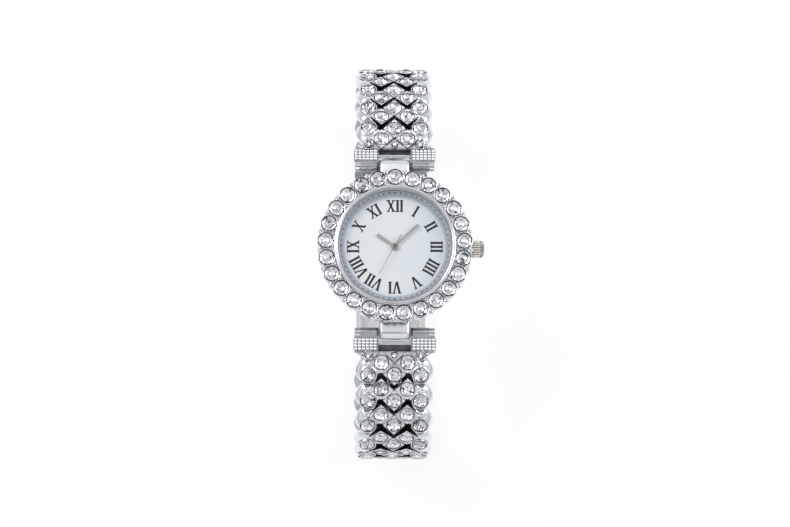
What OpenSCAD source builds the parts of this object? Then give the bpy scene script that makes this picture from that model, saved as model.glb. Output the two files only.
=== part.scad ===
// Quartz bracelet watch with a stone-set bezel and stone-set links.
// Origin: centre of the case back's outer face, on the axis of the hands.
// +Z points out of the dial, +Y to 12 o'clock and +X to the crown. Millimetres.

/* [Case] */
// Diameter of the case middle
case_d = 30.8; // [30:0.1:31.6]
// Height of the case middle above the case back's flange
case_h = 4.8; // [4.6:0.1:5.2]
// Thickness of the case back's flange
back_t = 0.5; // [0.4:0.05:0.8]
// Diameter of the case back's flange
back_d = 26.4; // [25:0.1:28]
// Diameter of the seat that the case back's plug presses into
back_seat_d = 23.7; // [23:0.1:24.4]
// Wall of the holder between the movement and the case
holder_wall = 1.4; // [1.2:0.05:1.8]
// Depth of the dial's recess in the top of the case
dial_recess = 0.4; // [0.3:0.05:0.6]

/* [Bezel] */
// Number of stones round the bezel
bezel_stones_n = 25; // [20:1:25]
// Diameter of the circle through the stones' centres
bezel_pitch_d = 29; // [28.6:0.1:29.4]
// Diameter of a round stone
stone_d = 3.2; // [2.8:0.05:3.25]
// Wall of a stone's cup
cup_wall = 0.27; // [0.2:0.01:0.35]
// Height of the cups above the case
cup_h = 2.1; // [1.8:0.05:2.4]
// Height of the polished lip round the crystal, above the case
lip_h = 2.55; // [2.4:0.05:2.8]
// Width of the polished lip
lip_w = 0.87; // [0.7:0.01:0.9]
// Diameter of the bore for crystal and dial ring
bezel_bore_d = 23.9; // [23.8:0.02:24]

/* [Crystal and dial] */
// Thickness of the crystal
crystal_t = 1.3; // [1:0.05:1.5]
// Height of the dial ring, from the dial to the crystal
ring_h = 1.4; // [1.3:0.05:1.6]
// Width of the dial ring at its foot
ring_w = 0.9; // [0.75:0.05:1.1]
// Thickness of the crystal's gasket
gasket_t = 0.28; // [0.2:0.01:0.35]
// Thickness of the dial
dial_t = 0.4; // [0.3:0.05:0.5]

/* [Hands] */
// Length of the hour hand from its axis
hour_len = 4.35; // [3.5:0.05:6]
// Length of the minute hand from its axis
minute_len = 6.7; // [6:0.05:9]
// Length of the seconds hand from its axis
seconds_len = 7.15; // [6:0.05:10]
// Length of the seconds hand's tail
seconds_tail = 2.65; // [1.5:0.05:3.5]
// Hour that the hands show
shown_hour = 10; // [0:1:11]
// Minute that the hands show
shown_minute = 7.8; // [0:0.1:59.9]
// Second that the seconds hand shows
shown_second = 34.8; // [0:0.1:59.9]

/* [Crown] */
// Diameter of the crown over its flutes
crown_d = 3.75; // [3.2:0.05:4.2]
// Length of the crown
crown_len = 2.9; // [2.2:0.05:3.2]
// Number of flutes on the crown
crown_flutes = 22; // [16:1:24]
// Travel of the crown from the pushed to the pulled place
crown_pull = 1; // [0.6:0.05:1.1]
// Height of the stem above the case back's outer face
stem_z = 3; // [2.9:0.05:3.1]

/* [Movement] */
// Diameter of the main plate
plate_d = 17.8; // [17.6:0.1:18]
// Height of the movement from the bridge to the top of the main plate
movement_h = 2.35; // [2.3:0.05:2.4]
// Diameter of the button cell
cell_d = 6.8; // [6.4:0.1:6.8]
// Height of the button cell
cell_h = 2.6; // [2.1:0.05:2.6]

/* [Lugs] */
// Distance from the hands' axis to each lug hinge
lug_y = 17.8; // [17.7:0.05:18.4]
// Height of the lug hinges above the case back's outer face
lug_z = 2.6; // [2.2:0.05:2.8]
// Width of the lug between the end link's arms
lug_w = 6.4; // [5.6:0.1:6.6]
// Diameter of the lug's round end
lug_d = 2.9; // [2.7:0.05:3]
// Diameter of the lug pins
lug_pin_d = 0.9; // [0.7:0.05:1]

/* [Bracelet] */
// Number of links in each arm, beside the end link
links_per_arm = 10; // [8:1:10]
// Length of a link from hinge to hinge
pitch = 5.5; // [5.4:0.05:5.8]
// Length of an end link from the lug hinge to its first link
end_len = 10.02; // [9.9:0.02:10.6]
// Length of the last link, from its hinge to the clasp
last_len = 8.6; // [8.5:0.05:9]
// Width of the links
link_w = 16.3; // [16.1:0.1:16.6]
// Width of the end links
end_w = 17.4; // [17:0.1:18]
// Distance of a link's stones from each other across the bracelet
stone_gap = 5.5; // [5.4:0.05:5.6]
// Height of a link's back above the hinge pin, under the setting
setting_z = 0.75; // [0.7:0.01:0.9]
// Thickness of a link's setting
setting_t = 0.9; // [0.8:0.05:1.1]
// Width of the zigzag gap between two links
zigzag_gap = 0.38; // [0.3:0.01:0.44]
// Diameter of the links' knuckles
knuckle_d = 1.2; // [1.1:0.05:1.25]
// Width of a link's inner knuckles
knuckle_w = 2.4; // [2:0.05:2.5]
// Diameter of the link pins
pin_d = 0.6; // [0.5:0.05:0.7]
// Diameter of the small stones on the end links
small_stone_d = 1.8; // [1.5:0.05:1.9]

/* [Clasp] */
// Thickness of the clasp's cover
cover_t = 0.9; // [0.7:0.05:1.1]
// Width of the clasp's cover
cover_w = 15.4; // [15:0.1:16]
// Width of the folding leaves
leaf_w = 8; // [7:0.1:8]
// Thickness of the folding leaves
leaf_t = 0.7; // [0.6:0.05:0.75]
// Diameter of the clasp's spring bars and their tubes' bores
bar_d = 1; // [0.8:0.05:1.1]

/* [Clearances] */
// Radial clearance of a pin in the knuckle that turns on it
pin_fit = 0.03; // [0.02:0.005:0.05]
// Radial clearance of parts that sit in a bore
seat_fit = 0.02; // [0.01:0.005:0.03]
// Gap between knuckles side by side
side_fit = 0.15; // [0.12:0.01:0.2]

/* [Hidden] */
$fn = 64;
eps = 0.02;

// The bend at each hinge of an arm, from the lug to the clasp, from the photographed curl. The
// 6 o'clock arm's last bend isn't listed: it is the one that meets the clasp and closes the loop.
bends_12 = [18.2, 11.8, 5, 15, 17.5, 20.3, 18.5, 16.5, 15.3, 15.2, 15.7];
bends_6 = [20.4, 8.6, 9.5, 23.5, 20, 12.9, 14.4, 15.9, 16.6, 16.2];
function piece_len(i) = i == 0 ? end_len : i == links_per_arm ? last_len : pitch;
// Tilt of piece i of the 12 (side 1) or the 6 o'clock arm (side -1) below the dial.
function tilt(side, i) = i < 0 ? 0
  : side < 0 && i == links_per_arm ? 180 - asin((hinge(side, i)[1] - clasp_z) / last_len)
  : tilt(side, i - 1) + (side > 0 ? bends_12[i] : bends_6[i]);
// Hinge i of an arm as [distance from the hands' axis, z]; the last one is at the clasp.
function hinge(side, i) = i == 0 ? [lug_y, lug_z]
  : hinge(side, i - 1) + piece_len(i - 1) * [cos(tilt(side, i - 1)), -sin(tilt(side, i - 1))];
end_12 = hinge(1, links_per_arm + 1);
clasp_z = end_12[1];
end_6 = hinge(-1, links_per_arm + 1);
clasp_half = (end_12[0] + end_6[0]) / 2;
clasp_mid = (end_12[0] - end_6[0]) / 2;

case_top = back_t + case_h;
dial_z = case_top - dial_recess;
dial_top = dial_z + dial_t;
crystal_z = dial_top + ring_h;
cup_r = stone_d / 2 + cup_wall;
bezel_r = bezel_pitch_d / 2;
flange_r = bezel_r + cup_r - 0.25;
cavity_d = plate_d + 2 * holder_wall;
pin_r = pin_d / 2;
knuckle_r = knuckle_d / 2;
bar_r = bar_d / 2;
setting_top = setting_z + setting_t;
stone_seat = 0.62;
stone_crown = 0.3;
plate_top = 4.1;
movement_z = plate_top - movement_h;
arbor_r = 0.12;
mesh_gap = 0.03;

arm_links = [for (i = [1:links_per_arm]) i];

// Small shapes
module tube(r_out, r_in, h) {
  difference() {
    cylinder(r = r_out, h = h);
    translate([0, 0, -eps]) cylinder(r = r_in, h = h + 2 * eps);
  }
}

// A rod along X between two x values, on the axis through [y, z].
module rod_x(r, x0, x1, y = 0, z = 0) {
  translate([x0, y, z]) rotate([0, 90, 0]) cylinder(r = r, h = x1 - x0);
}

module box(x0, x1, y0, y1, z0, z1) {
  translate([x0, y0, z0]) cube([x1 - x0, y1 - y0, z1 - z0]);
}

module mirror_x() {
  children();
  mirror([1, 0, 0]) children();
}

module ring_of(n, r, start = 0) {
  for (i = [0:n - 1]) rotate(start + i * 360 / n) translate([0, r, 0]) children();
}

// A round stone with its girdle at z = 0: table and crown above, pavilion below.
module stone(d) {
  depth = stone_seat - 0.05;
  rotate_extrude() polygon([[0, -depth], [d * 0.16, -depth], [d / 2, -0.08],
    [d / 2, 0], [d * 0.3, stone_crown], [0, stone_crown]]);
}

module pocket(d) {
  translate([0, 0, -stone_seat]) cylinder(r = d / 2 + seat_fit, h = stone_seat + 1);
}

// Case and bezel
module lug() {
  corner = 0.7;
  end_y = lug_y + lug_d / 2;
  difference() {
    union() {
      rod_x(lug_d / 2, -lug_w / 2, lug_w / 2, lug_y, lug_z);
      box(-lug_w / 2, lug_w / 2, case_d / 2 - 1.5, lug_y,
          lug_z - lug_d / 2, lug_z + lug_d / 2);
    }
    rod_x(lug_pin_d / 2 + seat_fit, -lug_w, lug_w, lug_y, lug_z);
    // Round corners, seen from above
    mirror_x() difference() {
      box(lug_w / 2 - corner, lug_w, end_y - corner, end_y + 1, 0, 2 * lug_z);
      translate([lug_w / 2 - corner, end_y - corner, -1]) cylinder(r = corner, h = 2 * lug_z + 2);
    }
  }
}

stem_bore_r = 0.5;
tube_r = 1;
tube_len = 1.3;
module case() {
  r = case_d / 2;
  color("silver") difference() {
    union() {
      rotate_extrude() polygon([[cavity_d / 2, back_t], [r - 1.2, back_t], [r, back_t + 1.5],
        [r, case_top - 0.5], [r - 0.4, case_top], [cavity_d / 2, case_top]]);
      lug();
      mirror([0, 1, 0]) lug();
      translate([0, 0, stem_z]) rotate([0, 90, 0]) translate([0, 0, r - 1])
        cylinder(r = tube_r, h = tube_len + 1);
    }
    translate([0, 0, back_t - 1]) cylinder(r = back_seat_d / 2, h = 1 + back_plug + gasket_h);
    translate([0, 0, dial_z]) cylinder(r = dial_r + 0.08, h = 2);
    rod_x(stem_bore_r, cavity_d / 2 - 1, r + tube_len + 1, 0, stem_z);
  }
}

back_plug = 0.9;
gasket_h = 0.3;
module case_back() {
  color("gainsboro") union() {
    translate([0, 0, 0]) rotate_extrude() polygon([[0, 0], [back_d / 2 - 0.4, 0],
      [back_d / 2, 0.3], [back_d / 2, back_t], [0, back_t]]);
    translate([0, 0, back_t - eps])
      tube(back_seat_d / 2 - seat_fit, back_seat_d / 2 - 0.9, back_plug + eps);
  }
}

module case_back_gasket() {
  color("dimgray") translate([0, 0, back_t + back_plug])
    tube(back_seat_d / 2 - 0.05, back_seat_d / 2 - 0.75, gasket_h);
}

module bezel() {
  color("silver") difference() {
    union() {
      translate([0, 0, case_top]) cylinder(r = flange_r, h = cup_h - 0.75);
      translate([0, 0, case_top]) ring_of(bezel_stones_n, bezel_r) cylinder(r = cup_r, h = cup_h);
      translate([0, 0, case_top]) rotate_extrude() polygon([[bezel_bore_d / 2 - 0.5, 0],
        [bezel_bore_d / 2 + lip_w, 0], [bezel_bore_d / 2 + lip_w, lip_h - 0.2],
        [bezel_bore_d / 2 + lip_w - 0.2, lip_h], [bezel_bore_d / 2 - 0.5, lip_h]]);
    }
    translate([0, 0, case_top - 1]) cylinder(r = bezel_bore_d / 2, h = 5);
    translate([0, 0, case_top + cup_h]) ring_of(bezel_stones_n, bezel_r) pocket(stone_d);
  }
}

module bezel_stones() {
  color("white") translate([0, 0, case_top + cup_h])
    ring_of(bezel_stones_n, bezel_r) stone(stone_d);
}

crystal_r = bezel_bore_d / 2 - gasket_t - 2 * seat_fit;
module crystal() {
  color("lightcyan", 0.4) translate([0, 0, crystal_z])
    rotate_extrude() polygon([[0, 0], [crystal_r, 0], [crystal_r, crystal_t - 0.2],
      [crystal_r - 0.2, crystal_t], [0, crystal_t]]);
}

module crystal_gasket() {
  color("whitesmoke") translate([0, 0, crystal_z])
    tube(bezel_bore_d / 2 - seat_fit, crystal_r + seat_fit, crystal_t - 0.35);
}

module dial_ring() {
  r = bezel_bore_d / 2 - seat_fit;
  color("lightsteelblue") translate([0, 0, dial_top]) rotate_extrude()
    polygon([[r - ring_w, 0], [r, 0], [r, ring_h], [r - 0.5, ring_h]]);
}

dial_r = bezel_bore_d / 2 - 0.05;
foot_r = 0.3;
feet = [[6.2, 5.2], [-6.2, 5.2]];
module dial() {
  color("white") difference() {
    union() {
      translate([0, 0, dial_z]) cylinder(r = dial_r, h = dial_t);
      for (p = feet) translate([p[0], p[1], plate_top - 0.4])
        cylinder(r = foot_r, h = dial_z - plate_top + 0.4 + eps);
    }
    translate([0, 0, dial_z - 1]) cylinder(r = 0.95, h = 3);
  }
}

// Hands: flat blades on a small collar, each angle counted clockwise from 12.
hour_z = dial_top + 0.35;
minute_z = hour_z + 0.3;
seconds_z = minute_z + 0.3;
hand_t = 0.12;
hour_turn = -(shown_hour + shown_minute / 60) * 30;
minute_turn = -shown_minute * 6;
seconds_turn = -shown_second * 6;

module blade(len, w, tail, tail_w) {
  linear_extrude(hand_t) polygon([[-tail_w / 2, -tail], [tail_w / 2, -tail], [w / 2, 0],
    [w * 0.42, len * 0.8], [0, len], [-w * 0.42, len * 0.8], [-w / 2, 0]]);
}

module hand(z, len, w, tail, tail_w, hub_r, bore_r) {
  translate([0, 0, z]) difference() {
    union() {
      blade(len, w, tail, tail_w);
      cylinder(r = hub_r, h = hand_t + 0.06);
    }
    translate([0, 0, -1]) cylinder(r = bore_r, h = 3);
  }
}

hour_tube_r = 0.75;
minute_tube_r = 0.42;
seconds_post_r = 0.15;
module hour_hand() {
  color("silver") rotate(hour_turn)
    hand(hour_z, hour_len, 0.8, 1.4, 0.5, 1, hour_tube_r + 0.005);
}
module minute_hand() {
  color("silver") rotate(minute_turn)
    hand(minute_z, minute_len, 0.6, 1.4, 0.4, 0.75, minute_tube_r + 0.005);
}
module seconds_hand() {
  color("silver") rotate(seconds_turn)
    hand(seconds_z, seconds_len, 0.22, seconds_tail, 0.22, 0.5, seconds_post_r + 0.005);
}

// Movement: every place is worked out from the train's centre distances.
third_cd = 2.04;
fifth_cd = 2.25;
rotor_cd = 2.04;
minute_cd = 1.92;
third_p = third_cd * [cos(145), sin(145)];
fifth_p = fifth_cd * [cos(60), sin(60)];
rotor_p = fifth_p + rotor_cd * [cos(75), sin(75)];
minute_p = minute_cd * [cos(-60), sin(-60)];
cell_p = [-3.85, -3.85];
plate_t = 0.5;
bridge_t = 0.3;
train_top = plate_top - plate_t;
train_z = movement_z + bridge_t;

module at(p, z = 0) { translate([p[0], p[1], z]) children(); }

module movement_holder() {
  color("white") difference() {
    translate([0, 0, back_t + back_plug + gasket_h + 0.05])
      tube(cavity_d / 2 - 0.05, plate_d / 2 + 0.05, dial_z - back_t - back_plug - gasket_h - 0.1);
    rod_x(0.6, plate_d / 2 - 1, cavity_d / 2 + 1, 0, stem_z);
  }
}

module main_plate() {
  color("goldenrod") difference() {
    union() {
      translate([0, 0, train_top]) cylinder(r = plate_d / 2, h = plate_t);
      translate([0, 0, movement_z + 0.2]) tube(plate_d / 2, plate_d / 2 - 0.5, train_top - movement_z);
      for (p = pillars) at(p, train_z) cylinder(r = 0.5, h = train_top - train_z + eps);
      at(minute_p, plate_top - eps) cylinder(r = 0.16, h = 0.6);
    }
    at(cell_p, movement_z) cylinder(r = cell_d / 2 + 0.08, h = 5);
    rod_x(0.45, lever_x - 1, cavity_d / 2, 0, stem_z);
    translate([0, 0, train_top - 1]) cylinder(r = minute_tube_r + 0.08, h = 3);
    for (p = [third_p, fifth_p, rotor_p]) at(p, train_top - 1)
      cylinder(r = arbor_r + pin_fit, h = 1.35);
    for (p = feet) at(p, train_top - 1) cylinder(r = foot_r + pin_fit, h = 3);
  }
}

pillars = [[-4.3, 1.6], [4.4, 2.1], [2.6, -1.6]];
module train_bridge() {
  color("goldenrod") difference() {
    translate([0, 0, movement_z]) linear_extrude(bridge_t)
      polygon([[-5, 0.9], [-1.4, -0.6], [2.2, -3.4], [3.9, -3.4], [5.2, 1.4], [5.2, 2.8],
        [3.2, 5.2], [0.4, 5.2], [-5, 2.4]]);
    for (p = [[0, 0], third_p, fifth_p, rotor_p]) at(p, movement_z - 1)
      cylinder(r = arbor_r + pin_fit, h = 3);
  }
}

board_z = 2.5;
module circuit_board() {
  color("darkgreen") difference() {
    union() {
      translate([0, 0, board_z]) linear_extrude(0.25)
        polygon([[0.4, -7.6], [3.6, -7.3], [7.2, -3.6], [7.4, -1.4], [4.6, -1.4], [0.4, -5]]);
      translate([1.2, -6.9, board_z + 0.25 - eps]) cube([1.6, 1.6, 0.35]);
    }
    at([4.6, -4.4], board_z - 1) cylinder(r = 0.3, h = 3);
  }
  // The tuning-fork crystal in its can lies on the board.
  color("gainsboro") translate([3.1, -5.9, board_z + 0.25 + 0.42]) rotate([0, 90, 42])
    cylinder(r = 0.4, h = 3.2);
}

coil_p = [0.3, 6.5];
coil_z = 2.85;
coil_r = 0.7;
coil_half = 3.2;
core_half = 4.1;
module coil() {
  color("peru") rod_x(coil_r, coil_p[0] - coil_half, coil_p[0] + coil_half, coil_p[1], coil_z);
  color("gray") mirror_coil() box(coil_p[0] + coil_half + 0.02, coil_p[0] + core_half,
    coil_p[1] - 0.5, coil_p[1] + 0.5, coil_z - 0.1, coil_z + 0.25);
}
module mirror_coil() {
  children();
  translate([2 * coil_p[0], 0, 0]) mirror([1, 0, 0]) children();
}

magnet_r = 0.95;
module stator() {
  z0 = coil_z - 0.1;
  color("lightslategray") difference() {
    union() {
      translate([coil_p[0] - core_half, 3.35, z0 - 0.35]) cube([2 * core_half, 1.5, 0.33]);
      at(rotor_p, z0 - 0.35) cylinder(r = 1.7, h = 0.33);
      mirror_coil() box(coil_p[0] + coil_half + 0.1, coil_p[0] + core_half, 3.6, coil_p[1] + 0.5,
        z0 - 0.35, z0 - 0.02);
    }
    at(rotor_p, 0) cylinder(r = magnet_r + 0.2, h = 5);
  }
}

// A wheel and pinion on one arbor: [radius, z, thickness] of each.
module arbor_wheel(z0, z1, wheel, pinion) {
  translate([0, 0, z0]) cylinder(r = arbor_r, h = z1 - z0);
  translate([0, 0, wheel[1]]) cylinder(r = wheel[0] - mesh_gap, h = wheel[2]);
  translate([0, 0, pinion[1]]) cylinder(r = pinion[0] - mesh_gap, h = pinion[2]);
}
arbor_z0 = movement_z + 0.05;
arbor_z1 = train_top + 0.3;

module rotor() {
  color("dimgray") at(rotor_p)
    arbor_wheel(arbor_z0, arbor_z1, [magnet_r, 2.36, 0.5], [0.24, 2.1, 0.26 + eps]);
}
module fifth_wheel() {
  color("gold") at(fifth_p)
    arbor_wheel(arbor_z0, arbor_z1, [1.8, 2.12, 0.12], [0.45, 2.12, 0.4]);
}
module third_wheel() {
  color("gold") at(third_p)
    arbor_wheel(arbor_z0, arbor_z1, [1.8, 2.72, 0.12], [0.227, 2.72, 0.6]);
}
module seconds_wheel() {
  color("gold") union() {
    translate([0, 0, arbor_z0]) cylinder(r = seconds_post_r - 0.03, h = 0.5);
    translate([0, 0, 2.3]) cylinder(r = seconds_post_r, h = seconds_z + 0.2 - 2.3);
    translate([0, 0, 2.4]) cylinder(r = 1.8 - mesh_gap, h = 0.12);
    translate([0, 0, 2.4]) cylinder(r = 0.24 - mesh_gap, h = 0.55);
  }
}
module centre_wheel() {
  color("gold") difference() {
    union() {
      translate([0, 0, 3.05]) cylinder(r = 1.813 - mesh_gap, h = 0.12);
      translate([0, 0, 3.05]) cylinder(r = minute_tube_r, h = minute_z + 0.15 - 3.05);
      translate([0, 0, plate_top + 0.05]) cylinder(r = 0.48 - mesh_gap, h = 0.25);
    }
    translate([0, 0, 2]) cylinder(r = seconds_post_r + 0.06, h = 6);
  }
}
module minute_wheel() {
  color("gold") at(minute_p, plate_top + 0.07) difference() {
    union() {
      cylinder(r = 1.44 - mesh_gap, h = 0.12);
      cylinder(r = 0.384 - mesh_gap, h = 0.6);
    }
    translate([0, 0, -1]) cylinder(r = 0.2, h = 3);
  }
}
module hour_wheel() {
  color("gold") difference() {
    union() {
      translate([0, 0, plate_top + 0.42]) cylinder(r = 1.536 - mesh_gap, h = 0.12);
      translate([0, 0, plate_top + 0.42])
        cylinder(r = hour_tube_r, h = hour_z + 0.15 - plate_top - 0.42);
    }
    translate([0, 0, plate_top]) cylinder(r = minute_tube_r + 0.07, h = 4);
  }
}

module battery() {
  color("silver") at(cell_p, plate_top + 0.4 - cell_h) cylinder(r = cell_d / 2, h = cell_h);
}
module battery_clamp() {
  z = plate_top + 0.4 - cell_h - 0.2;
  color("silver") translate([0, 0, z]) linear_extrude(0.18)
    polygon([[-5.2, -6.8], [-3.2, -7.6], [-1.4, -5.6], [-0.9, -3.2], [-3.4, -3.6]]);
}

lever_x = 5.6;
module setting_lever() {
  color("lightgray") difference() {
    union() {
      box(lever_x - 0.12, lever_x + 0.12, -0.75, 0.75, stem_z - 0.45, stem_z + 0.55);
      box(lever_x - 0.12, lever_x + 0.9, 0.5, 2.6, stem_z + 0.3, stem_z + 0.5);
    }
    rod_x(0.24, lever_x - 1, lever_x + 1, 0, stem_z);
    box(lever_x - 1, lever_x + 1, -0.24, 0.24, stem_z - 1, stem_z);
  }
}

stem_r = 0.3;
crown_x = case_d / 2 + 0.5;
module stem() {
  color("silver") union() {
    rod_x(0.18, 5, lever_x + 0.4, 0, stem_z);
    rod_x(stem_r, lever_x + 0.3, crown_x + 1.8, 0, stem_z);
    rod_x(stem_r, 5, lever_x - 0.3, 0, stem_z);
  }
}

module crown() {
  color("silver") translate([crown_x, 0, stem_z]) rotate([0, 90, 0]) difference() {
    union() {
      rotate_extrude() polygon([[0, 0], [crown_d / 2 - 0.2, 0], [crown_d / 2 - 0.2, crown_len - 0.35],
        [crown_d / 2 - 0.65, crown_len - 0.08], [0, crown_len]]);
      ring_of(crown_flutes, crown_d / 2 - 0.2) cylinder(r = 0.2, h = crown_len - 0.45);
    }
    translate([0, 0, -1]) cylinder(r = tube_r + 0.1, h = 1 + tube_len + 0.1);
    translate([0, 0, 0]) cylinder(r = stem_r + 0.005, h = 1.8 + 0.02);
  }
}

module crown_gasket() {
  color("dimgray") translate([case_d / 2 + 0.2, 0, stem_z]) rotate([0, 90, 0])
    tube(stem_bore_r - 0.005, stem_r + 0.01, 0.6);
}

// Bracelet
// Half the width of the end link's arms starts beside the lug.
arm_in = lug_w / 2 + side_fit;
module lug_pins() {
  color("silver") for (s = [-1, 1])
    rod_x(lug_pin_d / 2, -end_w / 2 + 0.5, end_w / 2 - 0.5, s * lug_y, lug_z);
}

// Moves children from an arm's own frame to hinge i of the 12 or the 6 o'clock arm.
// The frame's y runs along the arm, z points out of the bracelet.
module on_arm(side, i) {
  h = hinge(side, i);
  mirror([0, side < 0 ? 1 : 0, 0]) translate([0, h[0], h[1]]) rotate([-tilt(side, i), 0, 0])
    children();
}

row_step = stone_gap / 2;
link_cup_r = stone_d / 2 + 0.28;
wing_top = 1.25;
shift = zigzag_gap / 2 * sqrt(2);
// Places of the five stones, from the outer hinge of a link inwards.
function stone_places(len) = concat(
  [for (x = [-1, 1]) [x * row_step, len - 1.5 * row_step]],
  [for (x = [-2, 0, 2]) [x * row_step, len - 0.5 * row_step]]);

// The right half of a piece's outer edge, from the outer stone's cup to the middle.
function outer_edge(len) = [[2 * row_step, len - 0.5 * row_step],
  [1.53 * row_step, len - 0.2], [row_step, len - 0.5 * row_step - shift],
  [0, len + 0.5 * row_step - shift]];
function mirrored(half) = concat(half, [for (i = [len(half) - 1:-1:0])
  if (half[i][0] > 0) [-half[i][0], half[i][1]]]);

// The plate that holds a link's stones, with a zigzag edge at both ends.
module setting(len) {
  e = shift + 0.5 * row_step;
  translate([0, 0, setting_z]) linear_extrude(setting_t) polygon(mirrored(concat(
    [[0, e], [row_step, e - row_step], [2 * row_step, e], [2.15 * row_step, e + 1]],
    outer_edge(len))));
}

// Round cups of the two stones at a piece's outer corners.
module outer_cups(len) {
  for (x = [-2, 2]) translate([x * row_step, len - 0.5 * row_step, 0.3])
    cylinder(r = link_cup_r, h = setting_top - 0.3);
}

// Smooth wings along a piece's sides, drawn in shares of its half width and its pitch.
wing_edge = [[0.546, 0.155], [0.675, 0.145], [0.767, 0.136], [0.791, 0.091], [0.896, 0.209],
  [0.96, 0.382], [0.994, 0.573], [0.991, 0.736], [0.951, 0.9], [0.871, 1], [0.773, 1.027],
  [0.638, 0.964], [0.55, 0.83], [0.5, 0.55], [0.5, 0.29]];
module wings(y) {
  mirror_x() translate([0, y, 0]) linear_extrude(wing_top)
    polygon([for (p = wing_edge) [p[0] * link_w / 2, p[1] * pitch]]);
}

// A knuckle between two x values, with the web that ties it to its piece.
module knuckle(x0, x1, y, y0, y1) {
  rod_x(knuckle_r, x0, x1, y, 0);
  box(x0 + 0.35, x1 - 0.35, y + y0, y + y1, -0.1, setting_z + 0.1);
}
module outer_knuckles(len) {
  knuckle(-knuckle_w / 2, knuckle_w / 2, len, -1.3, 0.3);
  mirror_x() knuckle(2 * row_step - 1.3, 2 * row_step + 0.6, len, -1.3, 0.3);
}
module inner_knuckles() {
  mirror_x() knuckle(row_step - knuckle_w / 2, row_step + knuckle_w / 2, 0, -0.3, 1.3);
}
module pin_bore(y, w) { rod_x(pin_r + pin_fit, -w, w, y, 0); }

module link_stones(len) {
  color("white") for (p = stone_places(len)) translate([p[0], p[1], setting_top]) stone(stone_d);
}
module link_pin() {
  half = 2 * row_step + 0.5;
  color("gray") rod_x(pin_r, -half, half, 0, 0);
}

// The ends that meet the clasp: a tube for the spring bar, or two ears for it.
ear_in = leaf_w / 2 + side_fit;
tube_half = cover_w / 2 - 0.95 - side_fit;
module clasp_end(kind, len) {
  r = bar_r + 0.3;
  if (kind == "tube") {
    rod_x(r, -tube_half, tube_half, len, 0);
    box(-tube_half, tube_half, 3, len, -0.3, 0.5);
    box(-tube_half + 1, tube_half - 1, 3, len - 2, 0.3, setting_z + 0.1);
  } else mirror_x() {
    rod_x(r, ear_in, ear_in + 2.6, len, 0);
    box(ear_in, ear_in + 2.6, 3, len, -r, 0.5);
    box(ear_in, ear_in + 2.6, 3, len - 2, 0.3, setting_z + 0.1);
  }
}

module arm_link(side, i) {
  len = piece_len(i);
  hw = link_w / 2;
  last = i == links_per_arm;
  on_arm(side, i) {
    color("silver") difference() {
      union() {
        setting(pitch);
        outer_cups(pitch);
        wings(0);
        inner_knuckles();
        if (last) clasp_end(side > 0 ? "tube" : "ears", len);
        else outer_knuckles(len);
        box(-row_step - 1.2, row_step + 1.2, 1, pitch - 1, 0.1, setting_z + 0.1);
      }
      for (p = stone_places(pitch)) translate([p[0], p[1], setting_top]) pocket(stone_d);
      pin_bore(0, hw);
      if (last) rod_x(bar_r + pin_fit, -hw, hw, len, 0);
      else pin_bore(len, hw);
    }
    link_stones(pitch);
    link_pin();
  }
}

small_y = end_len - 1.5 * row_step - 1.4;
pad_y0 = 0.7;
pad_y1 = 3.6;
plate_y = 3.8;
module end_link(side) {
  hw = end_w / 2;
  small_r = small_stone_d / 2;
  on_arm(side, 0) {
    color("silver") difference() {
      union() {
        mirror_x() {
          rod_x(1.1, arm_in, hw - 0.3, 0, 0);
          box(arm_in, hw - 0.3, 0, plate_y + 0.3, -0.9, 1.1);
          box(arm_in + 0.25, hw - 0.1, pad_y0, pad_y1, 0.2, 1.5);
        }
        box(-arm_in - 0.1, arm_in + 0.1, 1.75, 2.45, -0.3, 1.1);
        translate([0, 0, 0.1]) linear_extrude(setting_z) polygon(mirrored(
          [[hw - 0.3, plate_y], [hw - 0.6, plate_y + 0.6], [2.5 * row_step, end_len - 3.4],
           [3, end_len - 1.6]]));
        translate([0, 0, setting_z]) linear_extrude(setting_t) polygon(mirrored(concat(
          [[hw - 0.2, plate_y], [hw - 0.3, plate_y + 0.6], [hw - 1.2, small_y + 0.7],
           [2 * row_step + small_r, small_y + 1.5], [2.15 * row_step, end_len - 3]],
          outer_edge(end_len))));
        outer_cups(end_len);
        wings(end_len - pitch);
        outer_knuckles(end_len);
      }
      for (p = stone_places(end_len)) translate([p[0], p[1], setting_top]) pocket(stone_d);
      for (x = [-2, 0, 2]) translate([x * row_step, small_y, setting_top]) pocket(small_stone_d);
      rod_x(lug_pin_d / 2 + pin_fit, -hw, hw, 0, 0);
      pin_bore(end_len, hw);
    }
    link_stones(end_len);
    color("white") for (x = [-2, 0, 2]) translate([x * row_step, small_y, setting_top])
      stone(small_stone_d);
  }
}
module end_link_12() { end_link(1); }
module end_link_6() { end_link(-1); }

// Clasp: its frame lies midway between the spring bars, with z pointing to the wrist.
module in_clasp() { translate([0, clasp_mid, clasp_z]) children(); }
fold_r = 0.65;
cover_fold = [-clasp_half + 3.5, -1.1];
leaf_fold = [clasp_half - 5, -0.65];
cover_top = -1.9;
wall = 0.95;
cover_y0 = -clasp_half + 1.6;
cover_y1 = clasp_half - 0.5;

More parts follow.
